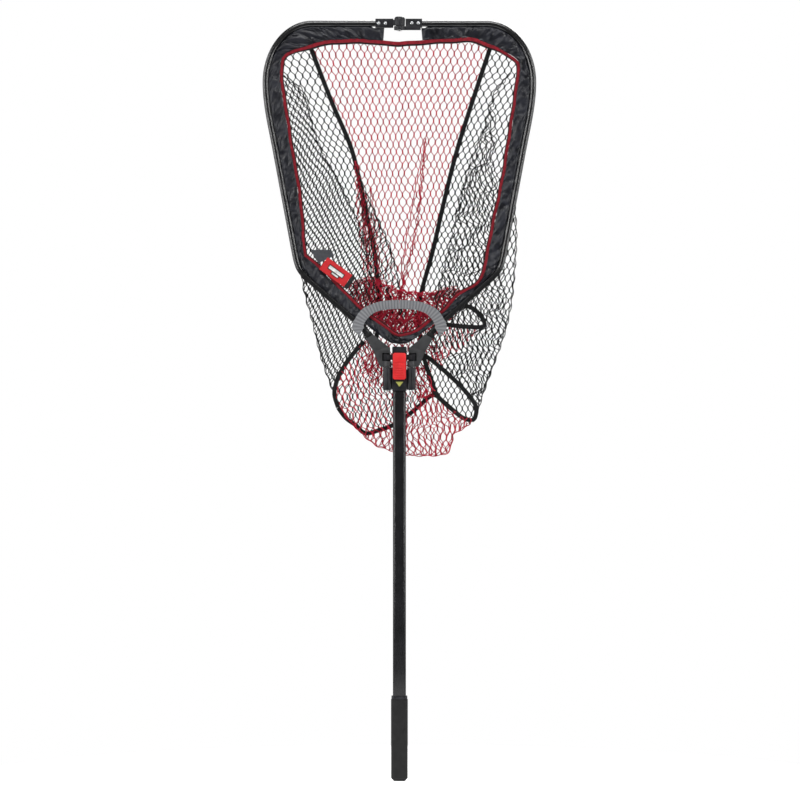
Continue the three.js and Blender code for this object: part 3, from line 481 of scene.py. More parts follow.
# In mm: the spacing of the points, and the cloth's half thickness at the rail, what it loses on its
# way to the seam, and how far it may stand out at the front and the back. Each sleeve begins a
# little way from the tip.
AROUND, GRAIN = 32, 3
RAIL_HALF, SEAM_TAPER, FRONT_MOST, BACK_MOST = 6.9, 3.4, -8.6, 7.6
rail_edge = even(rail_line(-0.2), GRAIN)
for side, sign, tip_gap in (("left", 1, 32.6), ("right", -1, 47.9)):
    rail_width = np.where((rail_edge[:, 1] > 1650) & (rail_edge[:, 0] > -60), 16.2, 13.1)
    beside_rail = inset(rail_edge, rail_width)
    low = [(-122, 1036.5), (-86.2, 1016.5), (-60, 995), (-48, 986), (-38.6, 978), (-20, 966), (0, 963)]
    rail_side = np.concatenate([beside_rail, even([beside_rail[-1], *low], GRAIN)[1:]])
    mouth_side = inset(flowing(MOUTH[side], GRAIN), -3.4)
    mouth_side[-1, 0] = 0
    outer, inner = [], []
    for part, (a, b) in enumerate(zip(parts_of(rail_side), parts_of(mouth_side))):
        if part == 0:
            a, b = a[a[:, 0] <= -tip_gap], b[b[:, 0] <= -tip_gap]
        count = int(np.linalg.norm(np.diff(a, axis=0), axis=1).sum() / GRAIN)
        outer.append(even(a, count=count)[(1 if outer else 0) :])
        inner.append(even(b, count=count)[(1 if inner else 0) :])
    outer, inner = np.concatenate(outer), np.concatenate(inner)
    fabric = []
    run = 0
    for i, (a, b) in enumerate(zip(outer, inner)):
        run += 0 if i == 0 else np.linalg.norm(a - outer[i - 1])
        bend = smooth((a[1] - 1500) / 60) * smooth((-100 - a[0]) / 60) + smooth((1210 - a[1]) / 40)
        fade = min(1, (i + 0.6) / 3)
        ring = []
        for j in range(AROUND):
            turn = 2 * math.pi * (j + 0.5) / AROUND
            share = 0.5 - 0.5 * math.copysign(abs(math.cos(turn)) ** 0.62, math.cos(turn))
            bulge = math.copysign(abs(math.sin(turn)) ** 0.72, math.sin(turn))
            half = RAIL_HALF - SEAM_TAPER * share
            x, z = a + (b - a) * share
            lean = run + (44 * share if sign > 0 else -40 * share)
            pucker = noise.noise(Vector((lean / 8, share * 1.6, sign * 3 + (2 if bulge > 0 else 0))))
            soft = noise.noise(Vector((lean / 26, share * 1.3 + 4, sign * 2.0)))
            crease = abs(noise.noise(Vector((lean / 19 + 7, share * 1.2, sign * 5.0))))
            swell = 1.8 * pucker + 2.6 * soft - (11 + 9 * bend) * max(0, 0.24 - crease)
            y = bulge * max(1.0, half * fade + swell * fade * (0.3 + 0.7 * abs(bulge)))
            ring.append((x * sign / 1000, min(max(y, FRONT_MOST), BACK_MOST) / 1000, z / 1000))
        fabric.append(ring)
    pocket = shell(f"{side}_sleeve_cloth", fabric, nylon)
    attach(pocket, f"{side}_frame")
    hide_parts(f"{side}_sleeve")

# ---- Binding --------------------------------------------------------------------------------------
# A woven tape, dark red with a black selvedge, is sewn over the edge of the sleeve and the top of
# the netting all round the mouth. It waves a little between its stitches.

# The section of a tape with rounded edges, as shares of its half width and of its half thickness.
TAPE_FRONT = ((-1, -0.5), (-0.5, -1), (0, -1), (0.5, -1), (1, -0.5))
TAPE_SECTION = TAPE_FRONT + ((1, 0.5), (0.5, 1), (0, 1), (-0.5, 1), (-1, 0.5))


def ribbon(name, line, half, thick, material, side=1, twist=None):
    """A flat tape along a line of (x, y, z) in mm, of half width half, with its own flat coordinates."""
    line = np.array(line, float)
    half = np.broadcast_to(half, len(line))
    along = np.gradient(line[:, [0, 2]], axis=0)
    along /= np.maximum(np.linalg.norm(along, axis=1), 1e-9)[:, None]
    square = np.stack([-along[:, 1], along[:, 0]], axis=1)
    run = np.concatenate([[0], np.cumsum(np.linalg.norm(np.diff(line, axis=0), axis=1))])
    rings, flat = [], []
    for i, (x, y, z) in enumerate(line):
        ring, marks = [], []
        for v, deep in TAPE_SECTION:
            px, pz = np.array((x, z)) + square[i] * half[i] * v
            lean = 0 if twist is None else twist[i] * v * half[i]
            ring.append((px * side / 1000, (y + deep * thick / 2 + lean) / 1000, pz / 1000))
            marks.append((run[i] / 1000, v * half[i] / 1000))
        rings.append(ring)
        flat.append(marks)
    return shell(name, rings, material, uv=flat)


def woven(name, colour, selvedge=None, rib=1600, roughness=0.75, change=0.35, painted_rib_shade=False):
    """Tape with ribs across it, fine yarns along it, and one edge in another colour where it has one. Where
    asked, painted shade follows the ribs as light and dark bands in its colour.
    """
    material, tree, shader = finish(name, colour, roughness, Specular_IOR_Level=0.2, Sheen_Weight=0.03)
    ribs = texture(tree, "Wave", rib / 6.28, source="UV", Distortion=0.6, Detail=1.0)
    yarns = texture(tree, "Wave", 260, source="UV", turn=(0, 0, math.radians(90)), Distortion=0.8)
    clouds = texture(tree, "Noise", 120, source="UV", Detail=5.0)
    # On ribbed webbing the ribs, rather than clouds, make the colour darker and lighter: painted shade of
    # the ribs.
    pattern = ribs if painted_rib_shade else clouds
    mottled(tree, shader, pattern.outputs[0], colour, 1 - change, 1 + change)
    if selvedge:
        body = shader.inputs["Base Color"].links[0].from_socket
        where = tree.nodes.new("ShaderNodeTexCoord")
        split = tree.nodes.new("ShaderNodeSeparateXYZ")
        edge = tree.nodes.new("ShaderNodeMapRange")
        edge.inputs["From Min"].default_value = selvedge[1]
        edge.inputs["From Max"].default_value = selvedge[1] + 0.0004
        mix = tree.nodes.new("ShaderNodeMix")
        mix.data_type = "RGBA"
        mix.inputs["B"].default_value = (*selvedge[0], 1)
        tree.links.new(where.outputs["UV"], split.inputs[0])
        tree.links.new(split.outputs["Y"], edge.inputs["Value"])
        tree.links.new(edge.outputs[0], mix.inputs["Factor"])
        tree.links.new(body, mix.inputs["A"])
        tree.links.new(mix.outputs["Result"], shader.inputs["Base Color"])
    relief(tree, shader, [ribs.outputs[0], yarns.outputs[0]], 0.00025, 0.8)
    return material


red_tape = woven("red_binding_tape", (0.2, 0.006, 0.014), ((0.008, 0.004, 0.005), 0.0019), rib=3600)
for side, sign in (("left", 1), ("right", -1)):
    mouth = flowing(MOUTH[side], 3.5)
    steps = np.arange(len(mouth)) + 9 * sign
    wave = np.sin(steps * 0.31) * 0.6 + np.sin(steps * 0.113 + 1) * 0.9
    from_end = np.minimum(np.arange(len(mouth)), np.arange(len(mouth))[::-1])
    edge = inset(mouth, wave * np.minimum(1, from_end / 6))
    line = np.stack([edge[:, 0], 0.6 + 0.8 * wave, edge[:, 1]], axis=1)
    line[[0, -1], 0] = 0
    top = smooth((edge[:, 1] - 1608) / 14)
    line[:, 2] -= 1.0 * top
    tape = ribbon(f"{side}_binding_tape", line, 4.1 + 1.6 * top, 5.6, red_tape, sign)
    for corner in [*tape.data.vertices[: len(TAPE_SECTION)], *tape.data.vertices[-len(TAPE_SECTION) :]]:
        corner.co.x = 0
    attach(tape, f"{side}_frame")
    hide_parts(f"{side}_binding")

# ---- Netting --------------------------------------------------------------------------------------
# Knotless netting: each cord runs down in a zigzag and is plaited with its neighbour on every
# upright side, so the uprights are double and the slopes single. The middle of the bag is red, the
# sides are black, and the cloth of the bag is fuller than the frame, so that it lies in folds.

LEFT_SIDE = [
    (0, 1626.5), (-58, 1631), (-136, 1632), (-197, 1621), (-238, 1607), (-254, 1596), (-260, 1583),
    (-262, 1541), (-246, 1391), (-233, 1300), (-222, 1200), (-213, 1094), (-193, 1016), (-171, 928),
    (-144, 851), (-120, 807), (-91, 774), (-54, 741), (-14, 727),
]
RIGHT_SIDE = [
    (68, 717), (98, 719), (112, 731), (117, 752), (120, 764), (156, 786), (172, 812), (184, 851),
    (212, 928), (227, 970), (240, 1016), (251, 1083), (258, 1200), (252, 1300), (250, 1391),
    (256, 1480), (264, 1570), (257, 1590), (219, 1614), (201, 1622), (162, 1634), (60, 1632),
]
LOWEST = (22, 718)
OUTLINE = np.array([*LEFT_SIDE, LOWEST, *RIGHT_SIDE], float)
LEFT_TAPE = [
    (-200, 1628), (-150, 1500), (-104.6, 1391), (-77, 1270), (-56, 1170.6), (-47, 1087), (-44, 1030),
    (-52, 975), (-80, 925),
]
RIGHT_TAPE = [
    (204, 1628), (163, 1505), (127, 1391), (99, 1280), (74, 1170.6), (45.4, 1065), (44, 1010),
    (50, 955), (62, 918),
]


def within(x, z, outline):
    """Which points lie inside an outline."""
    outline = np.asarray(outline, float)
    inside = np.zeros(x.shape, bool)
    for (x0, z0), (x1, z1) in zip(outline, np.roll(outline, -1, axis=0)):
        if z0 != z1:
            crosses = (z0 > z) != (z1 > z)
            inside ^= crosses & (x < (x1 - x0) * (z - z0) / (z1 - z0) + x0)
    return inside


def away(x, z, line):
    """Distance of each point from a line."""
    nearest = np.full(x.shape, 1e9)
    for (x0, z0), (x1, z1) in zip(line[:-1], line[1:]):
        length = max((x1 - x0) ** 2 + (z1 - z0) ** 2, 1e-9)
        t = np.clip(((x - x0) * (x1 - x0) + (z - z0) * (z1 - z0)) / length, 0, 1)
        nearest = np.minimum(nearest, np.hypot(x - x0 - t * (x1 - x0), z - z0 - t * (z1 - z0)))
    return nearest


RIM = np.concatenate([OUTLINE, OUTLINE[:1]])
NEAREST, DEEPEST = 11.5, 136


def edge_depth(z):
    """Depth at which the back and the front of the bag meet, in mm."""
    return np.interp(z, [720, 850, 1016, 1094, 1200, 1300, 1400], [42, 52, 46, 36, 22, 12, 9.4])


def back_wall(x, z):
    """Depth of the back of the bag, in mm."""
    heights = [718, 741, 774, 851, 928, 1016, 1094, 1200, 1391, 1541, 1600, 1622]
    full = np.interp(z, heights, [60, 98, 118, 132, 130, 116, 102, 86, 60, 38, 24, 9.4])
    rounding = np.interp(z, [760, 1100, 1500, 1622], [75, 110, 150, 90])
    rise = np.sqrt(1 - (1 - np.clip(away(x, z, RIM) / rounding, 0, 1)) ** 2)
    return edge_depth(z) + (full - edge_depth(z)) * rise


def front_wall(x, z):
    """Depth of the front of the bag, below and outside the mouth."""
    rise = np.sqrt(1 - (1 - np.clip(away(x, z, RIM) / 60, 0, 1)) ** 2)
    front = 11 + 8.5 * smooth((1010 - z) / 40)
    return edge_depth(z) + (front - edge_depth(z)) * rise


def ruffle(x, z, size, wave, seed):
    """Sideways, upright and inward shifts of slack cloth, in mm."""
    rng = np.random.default_rng(seed)
    shifts = np.zeros((3, *x.shape))
    for k in range(5):
        way, phase = rng.uniform(0, math.pi), rng.uniform(0, 6.28, 3)
        reach = wave * rng.uniform(0.6, 1.5)
        s = (x * math.cos(way) + z * math.sin(way)) * 2 * math.pi / reach
        shifts += np.stack([np.sin(s + p) for p in phase]) * size / 2.2
    return shifts


TOP_ROW, LATTICE_REACH, LATTICE_DROP = 1640, 340, 960


def lattice(cell, upright, slope, cord):
    """The corners of the zigzag cords over the whole bag, as [cord, corner, (x, z)], before gathering."""
    columns = np.arange(-LATTICE_REACH, LATTICE_REACH, cell)
    rows = np.arange(0, int(LATTICE_DROP / (upright + slope)))
    gap = 0.85 * cord
    x = columns[:, None] + (rows % 2) * cell / 2
    z = TOP_ROW - rows * (upright + slope) + 0 * columns[:, None]
    cords = []
    for way in (1, -1):
        sideways = np.where(rows % 2, -1, 1) * gap * way
        place = x if way > 0 else columns[:, None] - (rows % 2) * cell / 2
        top = np.stack([place + sideways, z], axis=2)
        low = np.stack([place + sideways, z - upright], axis=2)
        cords.append(np.stack([top, low], axis=2).reshape(len(columns), -1, 2))
    return np.concatenate(cords)


def netting(cells, outline, depth, gather, slack):
    """One layer of netting: the part of a gathered lattice inside an outline, as points and edges."""
    x, z = gather(cells[..., 0], cells[..., 1])
    shift = ruffle(x, z, *slack)
    x, z = x + shift[0], z + shift[1]

    def keep(x, z):
        return within(x, z, outline) & within(x, z, OUTLINE)

    inside = keep(x, z)
    flat = np.stack([x, z, shift[2]], axis=2).reshape(-1, 3)
    number = np.arange(x.size).reshape(x.shape)
    a, b = number[:, :-1].ravel(), number[:, 1:].ravel()
    held = inside.ravel()
    pairs = np.stack([a, b], axis=1)
    edges = pairs[held[a] & held[b]]
    cut = np.concatenate([pairs[held[a] & ~held[b]], pairs[held[b] & ~held[a]][:, ::-1]])
    low, high = np.zeros(len(cut)), np.ones(len(cut))
    for _ in range(12):
        t = (low + high) / 2
        p = flat[cut[:, 0]] + (flat[cut[:, 1]] - flat[cut[:, 0]]) * t[:, None]
        fine = keep(p[:, 0], p[:, 1])
        low, high = np.where(fine, t, low), np.where(fine, high, t)
    ends = flat[cut[:, 0]] + (flat[cut[:, 1]] - flat[cut[:, 0]]) * low[:, None]
    edges = np.concatenate([edges, np.stack([cut[:, 0], x.size + np.arange(len(cut))], axis=1)])
    flat = np.concatenate([flat, ends])
    used, edges = np.unique(edges, return_inverse=True)
    flat = flat[used]
    y = depth(flat[:, 0], flat[:, 1])
    room = np.clip(away(flat[:, 0], flat[:, 1], RIM) / 40, 0, 1)
    y = np.clip(y + flat[:, 2] * room, NEAREST, DEEPEST)
    return np.stack([flat[:, 0], y, flat[:, 1]], axis=1), edges.reshape(-1, 2)


def cord_tree():
    """Round cords along the edges of a mesh."""
    tree = bpy.data.node_groups.new("netting_cords", "GeometryNodeTree")
    face = tree.interface
    face.new_socket("Geometry", in_out="INPUT", socket_type="NodeSocketGeometry")
    radius = face.new_socket("Cord radius", in_out="INPUT", socket_type="NodeSocketFloat")
    sides = face.new_socket("Sides", in_out="INPUT", socket_type="NodeSocketInt")
    stuff = face.new_socket("Material", in_out="INPUT", socket_type="NodeSocketMaterial")
    face.new_socket("Geometry", in_out="OUTPUT", socket_type="NodeSocketGeometry")
    add = tree.nodes.new
    source, result = add("NodeGroupInput"), add("NodeGroupOutput")
    lines, section = add("GeometryNodeMeshToCurve"), add("GeometryNodeCurvePrimitiveCircle")
    tube, real = add("GeometryNodeCurveToMesh"), add("GeometryNodeRealizeInstances")
    paint = add("GeometryNodeSetMaterial")
    tube.inputs["Fill Caps"].default_value = True
    link = tree.links.new
    link(source.outputs["Geometry"], lines.inputs[0])
    link(source.outputs["Sides"], section.inputs["Resolution"])
    link(source.outputs["Cord radius"], section.inputs["Radius"])
    link(lines.outputs[0], tube.inputs["Curve"])
    link(section.outputs[0], tube.inputs["Profile Curve"])
    link(tube.outputs[0], real.inputs[0])
    link(real.outputs[0], paint.inputs["Geometry"])
    link(source.outputs["Material"], paint.inputs["Material"])
    link(paint.outputs[0], result.inputs[0])
    return tree, {"radius": radius.identifier, "sides": sides.identifier, "material": stuff.identifier}


cord_maker, cord_inputs = cord_tree()
CORD_SIDES = 6


def made_solid(name, points, edges, tree, values):
    """Runs a node tree on points and edges in mm, and keeps the result as a plain mesh."""
    mesh = bpy.data.meshes.new(name)
    mesh.from_pydata((np.array(points) / 1000).tolist(), np.array(edges).tolist(), [])
    piece = bpy.data.objects.new(name, mesh)
    bpy.context.collection.objects.link(piece)
    maker = piece.modifiers.new("maker", "NODES")
    maker.node_group = tree
    for socket, value in values.items():
        maker[socket] = value
    bpy.context.view_layer.update()
    solid = bpy.data.meshes.new_from_object(piece.evaluated_get(bpy.context.evaluated_depsgraph_get()))
    piece.modifiers.remove(maker)
    piece.data = solid
    solid.name = name
    solid.shade_smooth()
    return piece


def bend_with_frame(piece):
    """Bakes the cloth's placement into its mesh and reads its points in mm; it does nothing more with them.
    """
    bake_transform(piece)
    spots = np.zeros(len(piece.data.vertices) * 3)
    piece.data.vertices.foreach_get("co", spots)
    spots = spots.reshape(-1, 3) * 1000


def halves(name, layers, cord, material, stands_for):
    """Splits layers of netting at the middle plane, and makes one piece of cords for each half."""
    for side, sign in (("left", -1), ("right", 1)):
        points, edges, count = [], [], 0
        for spots, lines in layers:
            across = spots[lines[:, 0], 0] * spots[lines[:, 1], 0] < 0
            a, b = spots[lines[across, 0]], spots[lines[across, 1]]
            middle = a + (b - a) * (a[:, :1] / (a[:, :1] - b[:, :1]))
            start = np.where(np.sign(a[:, 0]) == sign, lines[across, 0], lines[across, 1])
            own = lines[~across]
            own = own[np.sign(spots[own].mean(axis=1)[:, 0]) == sign]
            own = np.concatenate([own, np.stack([start, len(spots) + np.arange(len(middle))], axis=1)])
            every = np.concatenate([spots, middle])
            used, own = np.unique(own, return_inverse=True)
            points.append(every[used])
            edges.append(own.reshape(-1, 2) + count)
            count += len(used)
        values = {
            cord_inputs["radius"]: cord / 1000,
            cord_inputs["sides"]: CORD_SIDES,
            cord_inputs["material"]: material,
        }
        points, edges = np.concatenate(points), np.concatenate(edges)
        net = made_solid(f"{side}_{name}", points, edges, cord_maker, values)
        bend_with_frame(net)
        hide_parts(f"{side}_{stands_for}")


def cord_finish(name, colour, roughness):
    """Plaited cord, with a fine relief of its strands."""
    material, tree, shader = finish(name, colour, roughness, Specular_IOR_Level=0.22, Sheen_Weight=0.03)
    plait = texture(tree, "Wave", 700, turn=(0.5, 0.7, 0.3), Distortion=2.0)
    clouds = texture(tree, "Noise", 60, Detail=4.0)
    mottled(tree, shader, clouds.outputs[0], colour, 0.7, 1.4)
    relief(tree, shader, [plait.outputs[0]], 0.0002, 0.8)
    return material


RED_CORD, BLACK_CORD = 0.96, 1.02
red_cord = cord_finish("red_netting_cord", (0.37, 0.005, 0.024), 0.6)
black_cord = cord_finish("black_netting_cord", (0.003, 0.003, 0.0035), 0.65)


def fold_red(x, z):
    """The red strip narrows downwards, and is bunched along two folds."""
    x = x * np.interp(z, [1000, 1350, 1622], [0.8, 0.88, 1.06]) + 3
    for top, foot, pull in (((-112, 1470), (-90, 1260), 7), ((52, 1400), (6, 1140), 8)):
        line = np.interp(z, [foot[1], top[1]], [foot[0], top[0]])
        off = x - line
        force = smooth((top[1] + 60 - z) / 160)
        x = x - force * pull * off / 9 * np.exp(-((off / 14) ** 2))
    return x, z + 2.2 * np.sin(x / 46) + 1.2 * np.sin(x / 17 + z / 60)


def beside(tape, amount, wide, right=0, up=0):
    """Columns of the side panels lean with the tape, and the cells get narrower downwards."""
    tape = np.array(tape)[::-1]

    def gather(x, z):
        lean = np.interp(z, tape[:, 1], tape[:, 0]) - tape[-1, 0]
        width = np.interp(z, [1000, 1350, 1600], wide)
        return x * width + amount * lean + right, z + up + 2.5 * np.sin(z / 37 + x / 50)

    return gather


def squeezed(share, lean=0.0, drop=0.0, short=1.0):
    """A slack layer: its cells are narrowed and shortened, and lean."""

    def gather(x, z):
        return x * share + lean * (z - 1300), TOP_ROW - (TOP_ROW - z) * short + drop * x

    return gather


def edge_cord(points, depth, cords=2, swing=1.5):
    """Cords that run along the edge of a fold, where the cloth turns back."""
    line = flowing(points, 4)
    spots, edges = [], []
    for k in range(cords):
        weaving = swing * np.sin(np.arange(len(line)) * (0.8 + 0.13 * k) + 2.1 * k)
        moved = inset(line, weaving + (k - (cords - 1) / 2) * 1.6)
        y = np.clip(depth(moved[:, 0], moved[:, 1]) + 0.8 * k, NEAREST, DEEPEST)
        edges += [(i + len(spots), i + 1 + len(spots)) for i in range(len(line) - 1)]
        spots += [(x, deep, z) for (x, z), deep in zip(moved, y)]
    return np.array(spots), np.array(edges)


red_cells = lattice(14.6, 8.9, 7.3, RED_CORD)
black_cells = lattice(15.2, 7.2, 6.2, BLACK_CORD)

red_strip = LEFT_TAPE + [(-80, 900), (-20, 900), (62, 900)] + RIGHT_TAPE[::-1]
back_seam = [
    (-146, 851), (-136, 823), (-119, 800), (-97, 784), (-76, 766), (-45, 772.7), (-14, 784), (14, 802),
    (45, 827), (76, 851), (104, 830), (137.9, 802), (159.5, 794.5), (172, 800),
]
left_panel = [(-300, 1640), (-300, 851)] + back_seam[:8] + [(20, 900)] + LEFT_TAPE[::-1]
right_panel = [(300, 1640)] + RIGHT_TAPE + [(20, 900)] + back_seam[7:] + [(300, 800)]
lower_red = [(-300, 851)] + back_seam + [(300, 800), (300, 700), (-300, 700)]

left_fold = [
    (-262, 1560), (-241, 1545), (-210, 1517), (-192, 1446), (-171, 1387), (-140, 1332), (-105, 1263),
    (-80, 1193), (-62, 1120), (-52, 1075), (-60, 1010), (-79, 969), (-107, 936), (-132, 898),
    (-141, 873), (-146, 851), (-330, 851), (-330, 1560),
]
right_fold = [
    (245, 1563), (206, 1508), (187, 1439), (160, 1372), (140, 1305), (125, 1243), (114, 1193),
    (90, 1100), (78, 1060), (86, 1010), (70, 960), (76, 924), (113, 892), (144, 861), (169, 827),
    (172, 800), (330, 800), (330, 1563),
]
cross_fold = [
    (-98, 1358), (-60, 1268), (-18, 1170), (2, 1082), (12, 1040), (-60, 1040), (-62, 1120),
    (-80, 1200),
]
red_fold = [(-102, 1378), (-70, 1290), (-50, 1170), (-42, 1070), (-75, 1060), (-88, 1180), (-96, 1260)]

v_heap = [
    (-118, 1096), (-60, 1108), (0, 1083), (66, 1076), (122, 1088), (152, 1062), (118, 1020), (70, 992),
    (2, 972), (-60, 994), (-104, 1052),
]
front_red = [
    (-79, 969), (-107, 936), (-132, 898), (-141, 873), (-146, 851), (-136, 823), (-119, 790),
    (-91, 760), (-54, 730), (0, 700), (150, 700), (190, 800), (160, 799), (138, 802), (104, 830),
    (82, 852), (73, 877), (64, 902), (51, 942), (76, 924), (113, 892), (90, 925), (132, 950),
    (181, 1000), (100, 1005), (64, 992), (0, 962),
]
heap_left = [(-84, 972), (-20, 968), (-30, 870), (-60, 872), (-86, 920)]
heap_right = [(36, 968), (80, 990), (96, 940), (70, 905), (82, 850), (40, 840), (30, 880)]

v_core = [(-74, 1040), (-40, 1052), (0, 1056), (44, 1050), (76, 1036), (40, 1002), (0, 978), (-36, 998)]
small_fold = [(104, 1006), (144, 1002), (181, 1001), (175, 1031), (150, 1047), (116, 1044)]

v_line = [
    (-110, 1068), (-60, 1022), (-29.5, 1001), (-12, 986), (0, 982), (12, 984), (32, 991), (60.5, 1011),
    (117, 1059),
]
v_edge = v_line + [(96, 1078), (50, 1046), (0, 1020), (-50, 1050), (-94, 1084)]


def at_edge(x, z):
    """Depth of cords along the fold at the side of the bag."""
    return edge_depth(z)


def sewn(x, z):
    """Depth of the netting sewn into the V, which runs back quickly from its seam."""
    return NEAREST + 34 * smooth(away(x, z, v_line) / 42)


def before_back(near):
    """Depth that is near mm in front of the back of the bag."""
    return lambda x, z: back_wall(x, z) - near


def behind_front(extra):
    """Depth that is extra mm behind the front of the bag, or before it where extra is negative."""
    return lambda x, z: front_wall(x, z) + extra


def partway(share):
    """Depth at a share of the way from the frame to the back of the bag."""
    return lambda x, z: 12 + (back_wall(x, z) - 12) * share


RED_NETS = (
    (red_strip, back_wall, fold_red, (1.1, 60, 8)),
    (lower_red, back_wall, squeezed(0.92, 0.1), (4, 80, 1)),
    (front_red, behind_front(1), squeezed(0.95, -0.22, 0.2), (5, 70, 2)),
    (red_fold, partway(0.8), squeezed(0.55, 0.2), (5, 60, 3)),
    (v_heap, partway(0.3), squeezed(0.8, 0.4, 0.3), (11, 48, 4)),
    (v_heap, partway(0.5), squeezed(0.7, -0.5, -0.2), (12, 42, 5)),
    (heap_left, behind_front(12), squeezed(0.6, 0.5), (8, 40, 6)),
    (heap_right, behind_front(12), squeezed(0.6, -0.5), (8, 40, 7)),
    (v_core, partway(0.2), squeezed(0.62, 0.3, 0.1, 0.7), (8, 36, 9)),
    (v_edge, sewn, squeezed(0.75, 0.2, 0.1, 0.8), (4, 40, 18)),
    (small_fold, behind_front(-3), squeezed(0.7, 0.3, 0.1, 0.8), (6, 40, 10)),
)
BLACK_NETS = (
    (left_panel, back_wall, beside(LEFT_TAPE, 0.14, (0.8, 0.86, 1.12)), (1.6, 90, 11)),
    (right_panel, back_wall, beside(RIGHT_TAPE, 0.14, (0.8, 0.9, 1.12)), (1.6, 90, 12)),
    (left_fold, front_wall, beside(LEFT_TAPE, 0.16, (0.8, 0.86, 1.12), 6.4, 3.2), (1.6, 90, 11)),
    (right_fold, front_wall, beside(RIGHT_TAPE, 0.2, (0.8, 0.66, 0.62), 6, 3), (6, 52, 14)),
    (cross_fold, partway(0.6), squeezed(0.8, 0.3), (5, 60, 15)),
    (v_heap, partway(0.7), squeezed(0.9, 0.2), (11, 50, 16)),
    (v_core, partway(0.45), squeezed(0.8, -0.2, 0.1, 0.8), (9, 44, 17)),
)
left_crease = [(-98, 1370), (-84, 1280), (-74, 1190), (-66, 1100)]
middle_crease = [(-64, 1310), (-52, 1200), (-40, 1090)]
right_crease = [(58, 1420), (50, 1330), (40, 1240), (24, 1160), (4, 1085), (0, 1050)]
red_layers = [netting(red_cells, *net) for net in RED_NETS] + [
    edge_cord([*LEFT_SIDE[-5:], LOWEST, *RIGHT_SIDE[:6]], at_edge),
    edge_cord(left_crease, partway(0.8), 3, 2.5),
    edge_cord(middle_crease, partway(0.8), 2, 2.5),
    edge_cord(right_crease, before_back(4), 3, 2.0),
    edge_cord(v_heap[:6], partway(0.3), 3, 3.0),
]
black_layers = [netting(black_cells, *net) for net in BLACK_NETS] + [
    edge_cord(LEFT_SIDE[-11:-4], at_edge),
    edge_cord(RIGHT_SIDE[5:14], at_edge),
    edge_cord(left_fold[:10], behind_front(0.5), 2, 2.2),
    edge_cord(right_fold[:9], behind_front(0.5), 2, 2.5),
    edge_cord(cross_fold[:5], partway(0.6), 2, 2.0),
]
halves("red_netting", red_layers, RED_CORD, red_cord, "net_strip")
halves("black_netting", black_layers, BLACK_CORD, black_cord, "net_panel")

# ---- Seam tapes -----------------------------------------------------------------------------------
# The seams between the red and black netting are covered with a black woven tape. Low down the bag
# turns over, so the tapes run round in loops, first on the front of the bag and then on its back.

black_tape = woven("black_seam_tape", (0.003, 0.003, 0.0035), rib=3000, roughness=0.7)
LOW_LEFT, LOW_RIGHT = (-136, 823), (160, 794)
TAPE_NEAREST, TAPE_DEEPEST = 10.5, 135


def seam(points, depth, step=5):
    """A smooth line on a wall of the bag. The tapes of both walls meet at its low corners."""
    line = flowing(points, step)
    y = depth(line[:, 0], line[:, 1])
    for x, z in (LOW_LEFT, LOW_RIGHT):
        near = smooth(1.15 - np.hypot(line[:, 0] - x, line[:, 1] - z) / 45)
        y = y + (edge_depth(z) - y) * near
    return np.stack([line[:, 0], y, line[:, 1]], axis=1)


def over_back(x, z):
    """Depth of a tape on the back of the bag, inside its netting."""
    return np.clip(back_wall(x, z) - 4.0, TAPE_NEAREST, TAPE_DEEPEST)


def over_front(x, z):
    """Depth of a tape on the front of the bag, outside its netting."""
    return np.clip(front_wall(x, z) - 1.0, TAPE_NEAREST, TAPE_DEEPEST)


low_back = seam(back_seam[1:-1], over_back)
left_loop = seam([(-79, 969), (-107, 936), (-132, 898), (-141, 873), (-144, 851), LOW_LEFT], over_front)
right_loop = seam([
    (51, 942), (76, 924), (113, 892), (144, 861), (169, 827), (168, 802), LOW_RIGHT,
], over_front)
inner_loop = seam([
    LOW_RIGHT, (137.9, 802), (104, 830), (82, 852), (73, 877), (64, 902), (51, 942),
], over_front)
small_loop = seam([
    (116, 1044), (150, 1047), (175, 1031), (188, 1010), (181, 1001), (144, 1002), (104, 1006),
], over_front)
tapes = {
    "left_back_tape": seam(LEFT_TAPE[:-1], over_back),
    "right_back_tape": seam(RIGHT_TAPE[:-1], over_back),
    "left_front_tape": left_loop,
    "left_low_tape": low_back[low_back[:, 0] < -0.2],
    "right_low_tape": low_back[low_back[:, 0] > 0.2],
    "right_loop_tape": right_loop,
    "right_inner_tape": inner_loop,
    "right_small_tape": small_loop,
}
for name, line in tapes.items():
    side = name.split("_")[0]
    wobble = 0.16 * np.sin(np.arange(len(line)) * 0.45 + len(line))
    tape = ribbon(name, line, 4.9, 1.1, black_tape, twist=wobble)
    bend_with_frame(tape)
    if name.endswith("back_tape"):
        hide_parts(f"{side}_seam_tape")

# ---- Strap, its loops and the tag -----------------------------------------------------------------
# A strap of grey ribbed webbing arches over the V in front of the netting. Each end meets a loop of
# the same webbing that goes round the rail. A woven tag lies on the lower left of the sleeve.

